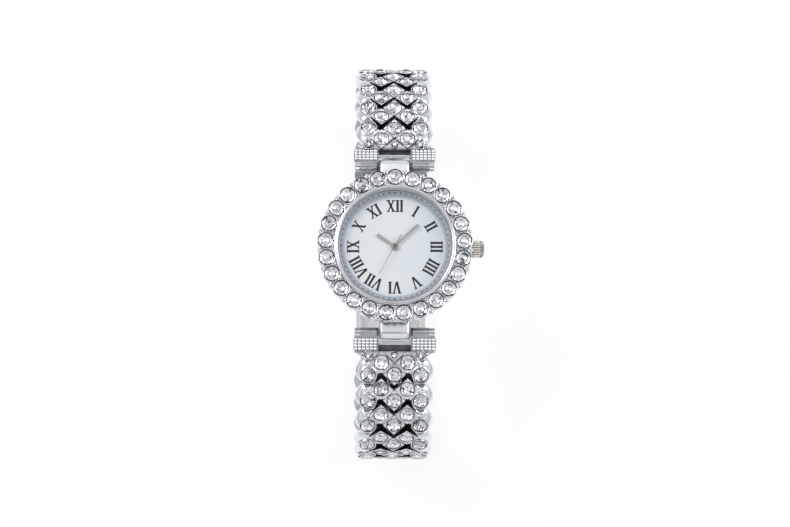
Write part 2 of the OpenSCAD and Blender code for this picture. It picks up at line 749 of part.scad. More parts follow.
module clasp_cover() {
  color("silver") in_clasp() difference() {
    union() {
      box(-cover_w / 2, cover_w / 2, cover_y0, cover_y1, cover_top - cover_t, cover_top);
      mirror_x() {
        box(cover_w / 2 - wall, cover_w / 2, cover_y0 + 2.6, cover_y1, cover_top - eps, 0.4);
        rod_x(1.1, cover_w / 2 - wall, cover_w / 2, clasp_half, 0);
        box(cover_w / 2 - wall, cover_w / 2, cover_y1 - 1.2, clasp_half, -1.1, 1.1);
        box(cover_w / 2 - wall, cover_w / 2, cover_y1 - 1.2, cover_y1, cover_top - eps, 0.4);
        rod_x(fold_r, ear_in, cover_w / 2, cover_fold[0], cover_fold[1]);
        box(ear_in, cover_w / 2, cover_fold[0] - fold_r, cover_fold[0] + fold_r,
            cover_top - eps, cover_fold[1]);
      }
    }
    // The leaves swing through this notch in the cover's end.
    box(-ear_in, ear_in, cover_y0 - 1, cover_fold[0], cover_top - cover_t - 1, 1);
    rod_x(bar_r + seat_fit, -cover_w, cover_w, clasp_half, 0);
    rod_x(pin_r + seat_fit, -cover_w, cover_w, cover_fold[0], cover_fold[1]);
  }
}

module clasp_cover_pins() {
  color("gray") in_clasp() {
    rod_x(bar_r, -cover_w / 2 + 0.1, cover_w / 2 - 0.1, clasp_half, 0);
    rod_x(pin_r, -cover_w / 2 + 0.1, cover_w / 2 - 0.1, cover_fold[0], cover_fold[1]);
  }
}

leaf_half = leaf_w / 2;
mid_knuckle = 1.9;
module clasp_middle() {
  z0 = cover_fold[1] - leaf_t / 2;
  color("silver") in_clasp() difference() {
    union() {
      rod_x(fold_r, -leaf_half, leaf_half, cover_fold[0], cover_fold[1]);
      box(-leaf_half, leaf_half, cover_fold[0], leaf_fold[0] - 1, z0, z0 + leaf_t);
      box(-mid_knuckle, mid_knuckle, leaf_fold[0] - 1.5, leaf_fold[0], z0, z0 + leaf_t);
      rod_x(fold_r, -mid_knuckle, mid_knuckle, leaf_fold[0], leaf_fold[1]);
    }
    rod_x(pin_r + pin_fit, -leaf_w, leaf_w, cover_fold[0], cover_fold[1]);
    rod_x(pin_r + seat_fit, -leaf_w, leaf_w, leaf_fold[0], leaf_fold[1]);
  }
}
module clasp_middle_pin() {
  color("gray") in_clasp()
    rod_x(pin_r, -leaf_half + 0.1, leaf_half - 0.1, leaf_fold[0], leaf_fold[1]);
}

module clasp_base() {
  z0 = cover_fold[1] + fold_r + 0.1;
  r = bar_r + 0.3;
  color("silver") in_clasp() difference() {
    union() {
      rod_x(r, -leaf_half, leaf_half, -clasp_half, 0);
      box(-leaf_half, leaf_half, -clasp_half, leaf_fold[0] - 1, z0, z0 + leaf_t);
      mirror_x() {
        rod_x(fold_r, mid_knuckle + side_fit, leaf_half, leaf_fold[0], leaf_fold[1]);
        box(mid_knuckle + side_fit, leaf_half, leaf_fold[0] - 1.5, leaf_fold[0], z0, z0 + leaf_t);
      }
    }
    rod_x(bar_r + seat_fit, -leaf_w, leaf_w, -clasp_half, 0);
    rod_x(pin_r + pin_fit, -leaf_w, leaf_w, leaf_fold[0], leaf_fold[1]);
  }
}
module clasp_base_bar() {
  color("gray") in_clasp() rod_x(bar_r, -leaf_half + 0.05, leaf_half - 0.05, -clasp_half, 0);
}

case();
case_back();
case_back_gasket();
bezel();
bezel_stones();
crystal();
crystal_gasket();
dial_ring();
dial();
hour_hand();
minute_hand();
seconds_hand();
movement_holder();
main_plate();
train_bridge();
circuit_board();
coil();
stator();
rotor();
fifth_wheel();
seconds_wheel();
third_wheel();
centre_wheel();
minute_wheel();
hour_wheel();
battery();
battery_clamp();
setting_lever();
stem();
crown();
crown_gasket();
lug_pins();
end_link_12();
end_link_6();
for (i = arm_links) {
  arm_link(1, i);
  arm_link(-1, i);
}
clasp_cover();
clasp_cover_pins();
clasp_middle();
clasp_middle_pin();
clasp_base();
clasp_base_bar();
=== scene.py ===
"""Looks of the bracelet watch: detailed links, stones, bezel, dial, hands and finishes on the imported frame.

Shapes are written in millimetres in the frame of part.scad and end up in metres. A link is built once in
the arm's own frame (y along the arm, z out of the bracelet, hinge at the origin) and is then put on every
hinge. The sizes at the top repeat those of part.scad; each section starts with its own.
"""

import random
from math import copysign, cos, pi, radians, sin

import bpy
from mathutils import Matrix, Vector


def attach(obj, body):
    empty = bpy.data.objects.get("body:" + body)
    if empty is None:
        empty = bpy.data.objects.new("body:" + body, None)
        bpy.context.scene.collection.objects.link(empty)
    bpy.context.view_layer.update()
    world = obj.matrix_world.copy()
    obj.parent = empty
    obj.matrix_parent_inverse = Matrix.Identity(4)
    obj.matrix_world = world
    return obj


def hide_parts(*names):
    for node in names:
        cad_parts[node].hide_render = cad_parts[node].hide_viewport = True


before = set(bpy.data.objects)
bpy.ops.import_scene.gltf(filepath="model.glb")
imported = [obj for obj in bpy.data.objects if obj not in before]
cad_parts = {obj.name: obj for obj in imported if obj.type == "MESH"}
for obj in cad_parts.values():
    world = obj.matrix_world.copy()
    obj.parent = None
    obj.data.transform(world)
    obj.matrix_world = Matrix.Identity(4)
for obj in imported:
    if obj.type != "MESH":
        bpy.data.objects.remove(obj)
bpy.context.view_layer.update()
MM = 0.001

# Case and bezel
CASE_R = 15.4
BACK_T = 0.5
CASE_TOP = 5.3
CAVITY_R = 10.3
BACK_SEAT_R = 11.85
LUG_HALF = 3.2
LUG_R = 1.45
CROWN_Z = 3.0
TUBE_R = 1.0
TUBE_LEN = 1.3
BEZEL_R = 14.5
BEZEL_N = 25
CUP_TOP = 7.4
CUP_R = 1.815
LIP_TOP = 7.85
FLANGE_R = 16.14
FLANGE_TOP = 6.65
BORE_R = 11.95
LIP_R = 12.82
# Dial
DIAL_TOP = 5.3
DIAL_R = 11.9
RING_R = 11.93
RING_FOOT_R = 10.3
RING_SHADOW_R = 11.15
RING_H = 1.4
NUMERAL_R = 7.45
NUMERAL_H = 2.55
# Arms
BENDS_12 = (18.2, 11.8, 5, 15, 17.5, 20.3, 18.5, 16.5, 15.3, 15.2, 15.7)
BENDS_6 = (20.4, 8.6, 9.5, 23.5, 20, 12.9, 14.4, 15.9, 16.6, 16.2, 15.32)
END_LEN = 10.02
PITCH = 5.5
LAST_LEN = 8.6
LINKS = 10
LUG_Y = 17.8
LUG_Z = 2.6
ROW = 2.75
SETTING_Z = 0.75
STONE_Z = 1.65
KNUCKLE_R = 0.6
PIN_R = 0.3
# Stones
LINK_STONE_R = 1.47
BEZEL_STONE_R = 1.5
BEZEL_SEAT_R = 1.64
SMALL_STONE_R = 0.84
STONE_CROWN = 0.22
STONE_DEPTH = 0.56


# Mesh building
BEAD_SIDES = 10
ROD_SIDES = 28
WIDE_SIDES = 160
TOP_REACH = 3


class Shape:
    """Points in millimetres and faces, each face with the number of its finish."""

    def __init__(self):
        self.points = []
        self.faces = []
        self.finish = []

    def add(self, points, faces, finish=0):
        """Adds faces, whose numbers count from the first of the new points."""
        base = len(self.points)
        self.points += [tuple(p) for p in points]
        self.faces += [tuple(base + i for i in f) for f in faces]
        self.finish += [finish] * len(faces) if isinstance(finish, int) else list(finish)

    def put(self, other, matrix):
        """Adds another shape, moved by a matrix in millimetres."""
        self.add([matrix @ Vector(p) for p in other.points], other.faces, other.finish)

    def mesh(self, name, finishes, sharp=32.0):
        """The mesh in metres, with edges sharp from an angle on, or flat throughout at 0."""
        mesh = bpy.data.meshes.new(name)
        mesh.from_pydata([(x * MM, y * MM, z * MM) for x, y, z in self.points], [], self.faces)
        for material in finishes:
            mesh.materials.append(material)
        mesh.polygons.foreach_set("material_index", self.finish)
        mesh.polygons.foreach_set("use_smooth", [sharp > 0] * len(self.faces))
        if sharp > 0:
            mesh.set_sharp_from_angle(angle=radians(sharp))
        mesh.update()
        return mesh


def linked(name, data):
    """A new object in the scene."""
    thing = bpy.data.objects.new(name, data)
    bpy.context.scene.collection.objects.link(thing)
    return thing


def place(mesh, name, body, instead_of=(), matrix=None):
    """Puts a mesh in the scene on a body, with a matrix in metres."""
    piece = linked(name, mesh)
    if matrix is not None:
        piece.matrix_world = matrix
    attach(piece, body)
    if instead_of:
        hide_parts(*instead_of)


def rings(loops, closed=False, cap_start=False, cap_end=False):
    """Joins loops of equal length into a skin."""
    n = len(loops[0])
    points = [p for loop in loops for p in loop]
    faces = []
    last = len(loops) if closed else len(loops) - 1
    for a in range(last):
        b = (a + 1) % len(loops)
        for i in range(n):
            j = (i + 1) % n
            faces.append((a * n + i, a * n + j, b * n + j, b * n + i))
    if cap_start:
        faces.append(tuple(reversed(range(n))))
    if cap_end:
        faces.append(tuple((len(loops) - 1) * n + i for i in range(n)))
    return points, faces


def circle(r, z, n, x=0.0, y=0.0):
    """A level ring of n points."""
    return [(x + r * cos(2 * pi * i / n), y + r * sin(2 * pi * i / n), z)
            for i in range(n)]


def lathe(shape, profile, n=48, at=(0, 0), finish=0, closed=False):
    """Turns a profile of (radius, z), lowest outer point first, round the z axis at a point."""
    loops = [circle(max(r, 1e-4), z, n, at[0], at[1]) for r, z in profile]
    points, faces = rings(loops, closed=closed)
    if isinstance(finish, (list, tuple)):
        finish = [f for f in finish for _ in range(n)]
    shape.add(points, faces, finish)


def turning(degrees, axis):
    """A turn about an axis through the origin."""
    return Matrix.Rotation(radians(degrees), 4, axis)


def mirrored(half):
    """An outline from its right half, which starts and ends on the middle line."""
    return half + [(-x, y) for x, y in reversed(half) if x > 0]


def offset(outline, d):
    """Moves each edge of a counter-clockwise outline inwards by d."""
    result = []
    n = len(outline)
    for i in range(n):
        p, q, r = (Vector(outline[k % n][:2]) for k in (i - 1, i, i + 1))
        a, b = (q - p).normalized(), (r - q).normalized()
        na, nb = Vector((-a.y, a.x)), Vector((-b.y, b.x))
        miter = (na + nb).normalized()
        result.append(tuple(q + miter * (d / max(0.35, miter.dot(na)))))
    return result


def prism(shape, outline, z0, z1, edge=0.06, finish=0, wall=None, base=None):
    """An upright plate with a broken top and bottom edge; wall and base may have their own finish."""
    inner = offset(outline, edge)
    loops = [[(x, y, z0) for x, y in inner], [(x, y, z0 + edge) for x, y in outline],
             [(x, y, z1 - edge) for x, y in outline], [(x, y, z1) for x, y in inner]]
    points, faces = rings(loops, cap_start=True, cap_end=True)
    n = len(outline)
    wall = finish if wall is None else wall
    base = finish if base is None else base
    shape.add(points, faces, [wall] * (2 * n) + [finish] * n + [base, finish])


def block(shape, x0, x1, y0, y1, z0, z1, corner=0.12, edge=0.06, finish=0, base=None):
    """A plate with rounded corners."""
    outline = []
    for cx, cy, start in ((x1, y1, 0), (x0, y1, 90), (x0, y0, 180), (x1, y0, 270)):
        sx, sy = (1 if cx == x1 else -1), (1 if cy == y1 else -1)
        for k in range(4):
            a = radians(start + 30 * k)
            outline.append((cx - sx * corner + corner * cos(a),
                            cy - sy * corner + corner * sin(a)))
    prism(shape, outline, z0, z1, edge, finish, None, base)


def rod(shape, r, x0, x1, y=0.0, z=0.0, edge=0.06, finish=0, top=None):
    """A rod along x with broken ends; its upper half and a little more may have its own finish, such as the
    painted shade on the knuckles.
    """
    n = ROD_SIDES
    loops = []
    for x, k in ((x0, r - edge), (x0 + edge, r), (x1 - edge, r), (x1, r - edge)):
        loops.append([(x, y + k * cos(2 * pi * i / n), z + k * sin(2 * pi * i / n))
                      for i in range(n)])
    points, faces = rings(loops, cap_start=True, cap_end=True)
    top = finish if top is None else top
    around = [top if i < n // 2 + TOP_REACH or i >= n - TOP_REACH else finish for i in range(n)]
    shape.add(points, faces, around * 3 + [finish] * 2)


def bead(shape, x, y, z, r, height=1.0):
    """A half bead that stands on z."""
    profile = [(r, z - 0.4 * r)] + [(r * cos(a), z + r * height * sin(a))
                                    for a in (0, 0.55, 1.05, pi / 2)]
    lathe(shape, profile, BEAD_SIDES, (x, y))


# Finishes
NOISE_LOW, NOISE_HIGH = 0.3, 0.7
POLISH_SPREAD = 0.35
MIX_SHARE, MIX_A, MIX_B, MIX_RESULT = 0, 6, 7, 2


class Tree:
    """The node tree of a material or world under construction."""

    def __init__(self, owner):
        owner.use_nodes = True
        self.owner = owner
        self.nodes = owner.node_tree.nodes
        self.links = owner.node_tree.links

    def fill(self, node, values):
        """Gives inputs, by name or number, a value or a link to another node's output."""
        for key, value in values.items():
            if isinstance(value, bpy.types.NodeSocket):
                self.links.new(value, node.inputs[key])
            else:
                node.inputs[key].default_value = value

    def add(self, kind, values, operation=None):
        """A new node with its operation and inputs."""
        node = self.nodes.new(kind)
        if operation:
            node.operation = operation
        self.fill(node, values)
        return node

    def point(self):
        """The place on a surface, in the object's own metres."""
        return self.nodes.new("ShaderNodeTexCoord").outputs["Object"]

    def noise(self, scale, detail=3.0, roughness=0.5, stretch=(1, 1, 1)):
        """Noise in the object's own metres, stretched along an axis for brushing or grain."""
        mapping = self.add("ShaderNodeMapping", {"Vector": self.point(), "Scale": stretch})
        return self.add("ShaderNodeTexNoise", {"Vector": mapping.outputs["Vector"], "Scale": scale,
                                               "Detail": detail, "Roughness": roughness}).outputs["Fac"]

    def ramp(self, source, stops, interpolation="LINEAR"):
        """Maps a grey value to colours; stops are (position, (r, g, b))."""
        node = self.add("ShaderNodeValToRGB", {"Fac": source})
        node.color_ramp.interpolation = interpolation
        elements = node.color_ramp.elements
        while len(elements) < len(stops):
            elements.new(0.5)
        for element, (position, colour) in zip(elements, stops):
            element.position = position
            element.color = (*colour, 1)
        return node.outputs["Color"]

    def spread(self, source, low, high):
        """Spreads a noise over the values from low to high."""
        values = {"Value": source, "From Min": NOISE_LOW, "From Max": NOISE_HIGH,
                  "To Min": low, "To Max": high}
        return self.add("ShaderNodeMapRange", values).outputs["Result"]

    def relief(self, source, height):
        """Fine bumps of a height in metres."""
        return self.add("ShaderNodeBump", {"Height": source, "Strength": 1.0,
                                           "Distance": height}).outputs["Normal"]

    def shade(self, values):
        """Fills the shader and returns the material."""
        self.fill(self.nodes["Principled BSDF"], values)
        return self.owner


def metal(name, colour, dark, rough, brushed=(1, 1, 1), scale=2500, height=2e-7):
    """A metal with slightly uneven tone and polish, and fine hairlines where it is brushed."""
    tree = Tree(bpy.data.materials.new(name))
    grain = tree.noise(scale, 3, 0.6, brushed)
    return tree.shade({
        "Metallic": 1.0, "Base Color": tree.ramp(tree.noise(380, 4), ((0.3, dark), (0.62, colour))),
        "Roughness": tree.spread(grain, rough * (1 - POLISH_SPREAD), rough * (1 + POLISH_SPREAD)),
        "Normal": tree.relief(grain, height)})


def plain(name, colour, dark, rough):
    """A painted, moulded or printed surface with fine unevenness."""
    tree = Tree(bpy.data.materials.new(name))
    grain = tree.noise(900)
    return tree.shade({"Base Color": tree.ramp(grain, ((0.32, dark), (0.64, colour))),
                       "Roughness": tree.spread(grain, rough * 0.85, rough * 1.15),
                       "Normal": tree.relief(grain, 1e-6)})


def pearl_dial():
    """Pearl-white lacquer: broad soft clouds, a faint satin grain, and a painted cool shade that darkens and
    blues it towards the right.
    """
    tree = Tree(bpy.data.materials.new("pearl_dial"))
    tone = tree.ramp(tree.noise(160, 2), ((0.36, (0.675, 0.715, 0.735)), (0.62, (0.715, 0.735, 0.75))))
    split = tree.add("ShaderNodeSeparateXYZ", {"Vector": tree.point()})
    # Painted shade: the colour mixes towards a darker blue-grey from left to right across the dial.
    side = tree.add("ShaderNodeMapRange",
                    {"Value": split.outputs["X"], "From Min": -2 * MM, "From Max": 14 * MM})
    mix = tree.nodes.new("ShaderNodeMix")
    mix.data_type = "RGBA"
    tree.fill(mix, {MIX_SHARE: side.outputs["Result"], MIX_A: tone, MIX_B: (0.60, 0.675, 0.735, 1)})
    return tree.shade({"Base Color": mix.outputs[MIX_RESULT], "Roughness": 0.42, "Coat Weight": 0.25,
                       "Normal": tree.relief(tree.noise(5200, 2), 4e-7)})


def shadowed_ring():
    """The ring's lacquer: the dial's pearl at its foot, blue-grey at its rim; the darkening towards the rim
    is a painted shadow of the wall round the dial.
    """
    tree = Tree(bpy.data.materials.new("dial_ring_painted_shadow"))
    flat = tree.add("ShaderNodeVectorMath", {0: tree.point(), 1: (1, 1, 0)}, "MULTIPLY")
    radius = tree.add("ShaderNodeVectorMath", {0: flat.outputs["Vector"]}, "LENGTH")
    share = tree.add("ShaderNodeMapRange", {"Value": radius.outputs["Value"],
                                            "From Min": RING_FOOT_R * MM, "From Max": RING_SHADOW_R * MM})
    tone = tree.ramp(share.outputs["Result"], ((0.0, (0.655, 0.70, 0.735)), (0.45, (0.47, 0.525, 0.59)),
                                               (1.0, (0.30, 0.355, 0.42))))
    grain = tree.noise(4200, 2)
    return tree.shade({"Base Color": tone, "Roughness": tree.spread(grain, 0.36, 0.48),
                       "Normal": tree.relief(grain, 4e-7)})


def stone_glass():
    """Clear glass of a stone's crown."""
    tree = Tree(bpy.data.materials.new("stone_glass"))
    return tree.shade({"Base Color": (1, 1, 1, 1), "Transmission Weight": 1.0, "IOR": 1.5,
                       "Roughness": tree.spread(tree.noise(3000, 2), 0.0, 0.03)})


def crystal_glass():
    """The flat crystal: nearly clear, with a faint gloss."""
    tree = Tree(bpy.data.materials.new("crystal_glass"))
    return tree.shade({"Base Color": (0.03, 0.04, 0.05, 1), "Alpha": 0.05,
                       "Roughness": tree.spread(tree.noise(120, 3), 0.02, 0.06)})


def wound_copper():
    """Fine enamelled wire, wound round the coil's axis."""
    tree = Tree(bpy.data.materials.new("copper_coil"))
    wave = tree.add("ShaderNodeTexWave", {"Vector": tree.point(), "Scale": 3200, "Distortion": 0.4})
    wave.bands_direction = "X"
    tone = tree.ramp(wave.outputs["Fac"], ((0.2, (0.16, 0.045, 0.02)), (0.8, (0.62, 0.24, 0.10))))
    return tree.shade({"Base Color": tone, "Metallic": 0.8, "Roughness": 0.35,
                       "Normal": tree.relief(wave.outputs["Fac"], 1e-5)})


CHROME = metal("chrome_polished", (0.75, 0.76, 0.785), (0.66, 0.67, 0.695), 0.11)
WING = metal("chrome_mirror", (0.81, 0.83, 0.87), (0.75, 0.77, 0.815), 0.16)
# Painted shade: near-black chrome in the zigzag gaps, on the knuckles' upper sides and in the stone seats;
# the seconds hand's pivot is made of it too.
SHADE = metal("chrome_painted_shade_and_pivot", (0.05, 0.05, 0.054), (0.02, 0.02, 0.022), 0.4)
# Satin chrome, which also serves as painted shade on the lug's sides and at the lip's inner edge.
FLOOR_SHADE = metal("chrome_satin_and_painted_shade", (0.46, 0.47, 0.495), (0.34, 0.35, 0.37), 0.3)
# Painted shade: a dark chrome beside the lug, under the cup edges, on the bridge's low step and on the lug's
# sides.
HALF_SHADE_METAL = metal("chrome_painted_half_shade", (0.14, 0.145, 0.155), (0.08, 0.083, 0.09), 0.35)
FIELD_METAL = metal("chrome_field", (0.82, 0.825, 0.845), (0.66, 0.665, 0.685), 0.24)
# Painted highlight: the brightest chrome, along the lug's middle and on the lip's outer wall.
HIGHLIGHT_METAL = metal("chrome_painted_highlight", (0.93, 0.94, 0.965), (0.88, 0.89, 0.915), 0.2)
STEEL = metal("brushed_steel", (0.80, 0.805, 0.815), (0.70, 0.705, 0.715), 0.32,
              brushed=(1, 18, 18), scale=900, height=6e-7)
PIN_STEEL = metal("pin_steel", (0.60, 0.60, 0.61), (0.48, 0.48, 0.49), 0.22, brushed=(14, 1, 1))
CROWN_METAL = metal("crown_plated", (0.95, 0.90, 0.85), (0.88, 0.82, 0.77), 0.24)
CROWN_GROOVE_SHADE = metal("crown_groove_painted_shade", (0.40, 0.35, 0.305), (0.29, 0.25, 0.215), 0.35)
CROWN_CAP = metal("crown_cap", (0.38, 0.35, 0.32), (0.28, 0.255, 0.23), 0.25)
HAND_METAL = metal("hand_metal", (0.50, 0.505, 0.485), (0.42, 0.425, 0.405), 0.34)
HUB_METAL = metal("hub_metal", (0.36, 0.34, 0.25), (0.24, 0.22, 0.15), 0.3)
BRASS = metal("movement_brass", (0.80, 0.60, 0.28), (0.66, 0.47, 0.20), 0.28, brushed=(1, 12, 1))
IRON = metal("stator_iron", (0.42, 0.43, 0.45), (0.30, 0.31, 0.33), 0.35)
CELL = metal("cell_steel", (0.70, 0.70, 0.70), (0.58, 0.58, 0.58), 0.25, brushed=(1, 1, 20))
FOIL = metal("stone_foil", (0.93, 0.93, 0.945), (0.86, 0.86, 0.88), 0.03, height=0)
# Painted reflections: grey and dark copies of the foil.
FOIL_PAINTED_GREY = metal("stone_foil_painted_grey_reflection", (0.68, 0.67, 0.685), (0.58, 0.57, 0.585), 0.05, height=0)
FOIL_PAINTED_DARK = metal("stone_foil_painted_dark_reflection", (0.16, 0.16, 0.165), (0.09, 0.09, 0.095), 0.08, height=0)
PLASTIC = plain("movement_plastic", (0.72, 0.72, 0.68), (0.62, 0.62, 0.58), 0.5)
RUBBER = plain("gasket_rubber", (0.035, 0.035, 0.037), (0.02, 0.02, 0.022), 0.6)
NYLON = plain("gasket_nylon", (0.25, 0.27, 0.30), (0.18, 0.195, 0.22), 0.6)
BOARD = plain("board_green", (0.03, 0.17, 0.07), (0.02, 0.10, 0.045), 0.4)
INK = plain("numeral_ink", (0.016, 0.016, 0.02), (0.008, 0.008, 0.01), 0.35)
RING_GREY = plain("dial_ring_grey", (0.46, 0.50, 0.55), (0.38, 0.42, 0.47), 0.65)
RING_LINE = plain("dial_ring_line", (0.82, 0.84, 0.88), (0.72, 0.74, 0.78), 0.6)
TICK_GREY = plain("dial_ring_tick", (0.07, 0.085, 0.11), (0.05, 0.06, 0.08), 0.4)
# A dark line at the ring's seat: partly the gasket, partly painted shadow under the lip.
RING_GASKET_SHADOW = plain("dial_ring_gasket_and_painted_shadow", (0.17, 0.19, 0.225), (0.12, 0.135, 0.165), 0.4)
RING_SHADOW = shadowed_ring()
PEARL = pearl_dial()
GLASS = stone_glass()
CRYSTAL = crystal_glass()
COPPER = wound_copper()

CASTING = (CHROME, SHADE, WING, FLOOR_SHADE, HALF_SHADE_METAL, FIELD_METAL, HIGHLIGHT_METAL)
STONE = (GLASS, FOIL, FOIL_PAINTED_GREY, FOIL_PAINTED_DARK)
POLISH, PAINTED_SHADE, MIRROR, SATIN_AND_SHADE, HALF_SHADE, FIELD, HIGHLIGHT = range(7)


# Stones
ROW_PULL = 0.09
STONE_TIP = 2
STONE_SETS = 6
END_SEED = 20
BEZEL_SEED = 3
TABLE_SHARE = 0.52
STAR_SHARE = 0.79
BELLY_SHARE = 0.42
FOIL_SHARES = (0.71, 0.23, 0.06)


def foil_tone(rng):
    """The finish of one pavilion facet: most are bright foil that throws light back; the grey and dark ones
    are painted reflections of the dark side of the room.
    """
    return rng.choices((1, 2, 3), FOIL_SHARES)[0]


def faceted_stone(r, turn, rng):
    """A brilliant-cut stone: table, stars, kites and girdle facets over a foiled pavilion."""
    shape = Shape()
    depth = STONE_DEPTH * r / LINK_STONE_R

    def ring(share, z, n, start):
        return [(share * r * cos(turn + 2 * pi * (i + start) / n),
                 share * r * sin(turn + 2 * pi * (i + start) / n), z) for i in range(n)]

    points = ring(TABLE_SHARE, STONE_CROWN, 8, 0) + ring(STAR_SHARE, STONE_CROWN * 0.55, 8, 0.5)
    points += ring(1, 0, 16, 0) + ring(BELLY_SHARE, -depth * 0.72, 8, 0.5) + [(0, 0, -depth)]
    star, girdle, belly, culet = 8, 16, 32, 40
    clear, foiled = [tuple(range(8))], []
    for i in range(8):
        before, after = (i - 1) % 8, (i + 1) % 8
        m, p = star + i, belly + i
        a, b, c = girdle + 2 * i, girdle + 2 * i + 1, girdle + (2 * i + 2) % 16
        clear += [(i, m, after), (i, star + before, a, m), (m, a, b), (m, b, c)]
        foiled += [(a, belly + before, p), (a, p, b), (b, p, c), (p, belly + before, culet)]
    shape.add(points, clear + foiled, [0] * len(clear) + [foil_tone(rng) for _ in foiled])
    return shape


def link_places(length):
    """The five stones of a link: two in the inner row, three in the outer row."""
    inner, outer = length - 1.5 * ROW + ROW_PULL, length - 0.5 * ROW
    return [(-ROW, inner), (ROW, inner), (-2 * ROW, outer), (0, outer - ROW_PULL), (2 * ROW, outer)]


def stone_group(places, z, seed):
    """Stones of (x, y, radius), each turned and tipped a little by hand as they are in the setting."""
    rng = random.Random(seed)
    shape = Shape()
    for x, y, r in places:
        tip = turning(rng.uniform(-STONE_TIP, STONE_TIP), "X") @ turning(
            rng.uniform(-STONE_TIP, STONE_TIP), "Y")
        stone = faceted_stone(r, rng.uniform(0, pi / 4), rng)
        shape.put(stone, Matrix.Translation((x, y, z)) @ tip)
    return shape


# Links
CELL_SIDES = 32
CELL_HALF = 1.68
CELL_FOOT = 0.8
CELL_TOP = 1.7
CELL_FLOOR = 1.52
CORNER_R = 2.02
CORNER_BEAD_R = 0.17
SEAT_R = 1.59
SEAT_FLOOR = 1.05
CUP_IN = 1.6
PLATE_TOP = 1.0
FILL_TOP = 1.5
FILL_HALF = 1.4
WING_FOOT = -0.1
WING_EDGE = 0.5
WING_TOP = 1.5
WING_STEPS = 7
KNUCKLE_HALF = 1.2
KNUCKLE_NEAR = 0.28
KNUCKLE_FAR = 1.3
SIDE_KNUCKLE = (4.2, 6.1)
WEB_Z = -0.5
CLASP_ROD_R = 0.8
TUBE_HALF = 6.6
EAR = (4.15, 6.75)


def span(side, near, far):
    """Two x values on a side, 1 or -1, in rising order."""
    return sorted((side * near, side * far))


def rhombus_loop(half, least, z, cx, cy):
    """A square on its corner with the given half width, never closer to the centre than least."""
    loop = []
    for i in range(CELL_SIDES):
        a = 2 * pi * i / CELL_SIDES
        reach = half / max(abs(cos(a - pi / 4)), abs(cos(a + pi / 4)))
        reach = max(reach, least)
        loop.append((cx + reach * cos(a), cy + reach * sin(a), z))
    return loop


def cell(shape, cx, cy):
    """A stone's rhombus cell: raised frame, collet round the stone, beads in the four corners."""
    rim = [(CELL_HALF, 0, CELL_FOOT), (CELL_HALF, 0, CELL_TOP - 0.07), (CELL_HALF - 0.05, 0, CELL_TOP),
           (CELL_HALF - 0.15, SEAT_R + 0.07, CELL_TOP), (CELL_HALF - 0.2, SEAT_R + 0.07, CELL_FLOOR)]
    collet = [(SEAT_R + 0.065, CELL_FLOOR + 0.02), (SEAT_R + 0.04, CELL_TOP - 0.01),
              (SEAT_R, CELL_TOP - 0.02), (SEAT_R - 0.01, SEAT_FLOOR), (0.01, SEAT_FLOOR)]
    loops = [rhombus_loop(half, least, z, cx, cy) for half, least, z in rim]
    loops += [circle(r, z, CELL_SIDES, cx, cy) for r, z in collet]
    points, faces = rings(loops)
    # Painted shade: the frame's outer wall, the collet's inner wall and the seat under the stone are
    # near-black.
    bands = [PAINTED_SHADE, POLISH, POLISH, FIELD, FIELD, POLISH, POLISH, PAINTED_SHADE, PAINTED_SHADE]
    shape.add(points, faces, [b for b in bands for _ in range(CELL_SIDES)])
    for k in range(4):
        a = pi / 2 * k
        bead(shape, cx + CORNER_R * cos(a), cy + CORNER_R * sin(a), CELL_FLOOR, CORNER_BEAD_R)


def groove_fill(shape, length):
    """Metal between the cells of one link, a little below their frames."""
    for s in (-1, 1):
        (x0, y0), (x1, y1) = (s * ROW, length - 1.5 * ROW + ROW_PULL), (0, length - 0.5 * ROW - ROW_PULL)
        for cx, cy, lean in (((x0 + x1) / 2, (y0 + y1) / 2, s), (s * 1.5 * ROW, length - ROW, -s)):
            strip = Shape()
            block(strip, -FILL_HALF, FILL_HALF, -0.3, 0.3, 0.9, FILL_TOP, 0.08, 0.04, FIELD)
            shape.put(strip, Matrix.Translation((cx, cy, 0)) @ turning(45 * lean, "Z"))


def cup(shape, cx, cy, r_in, foot=0.3, top=CELL_TOP, wall=0.28, n=36):
    """A round cup that stands proud of the wing, with a line of painted shade under its edge and a seat
    painted dark as shade.
    """
    profile = [(r_in + wall + 0.05, foot), (r_in + wall + 0.02, top - 0.5), (r_in + wall, top - 0.16),
               (r_in + wall - 0.05, top - 0.04), (r_in + wall * 0.55, top), (r_in + 0.04, top - 0.03),
               (r_in, top - 0.1), (r_in - 0.01, top - 0.65), (0.01, top - 0.65)]
    lathe(shape, profile, n, (cx, cy), [SATIN_AND_SHADE, HALF_SHADE] + [POLISH] * 4 + [PAINTED_SHADE] * 2)


def settings(shape, length):
    """Round cups for a link's two outer stones, cells for the others, and metal between them."""
    for x, y in link_places(length):
        if abs(x) > ROW + 0.1:
            cup(shape, x, y, CUP_IN)
        else:
            cell(shape, x, y)
    groove_fill(shape, length)


def pillow(shape, outline, spine):
    """A smooth domed wing over an outline, highest along a spine."""
    a, b = Vector(spine[0]), Vector(spine[1])
    axis = b - a
    loops = [[(x, y, WING_FOOT) for x, y in outline], [(x, y, WING_EDGE - 0.12) for x, y in outline]]
    for k in range(WING_STEPS + 1):
        t = 0.02 + 0.97 * k / WING_STEPS
        z = WING_EDGE + (WING_TOP - WING_EDGE) * sin(pi / 2 * t) ** 0.8
        loop = []
        for x, y in outline:
            p = Vector((x, y))
            near = a + axis * min(1, max(0, (p - a).dot(axis) / axis.length_squared))
            q = p.lerp(near, t)
            loop.append((q.x, q.y, z))
        loops.append(loop)
    shape.add(*rings(loops, cap_start=True), MIRROR)


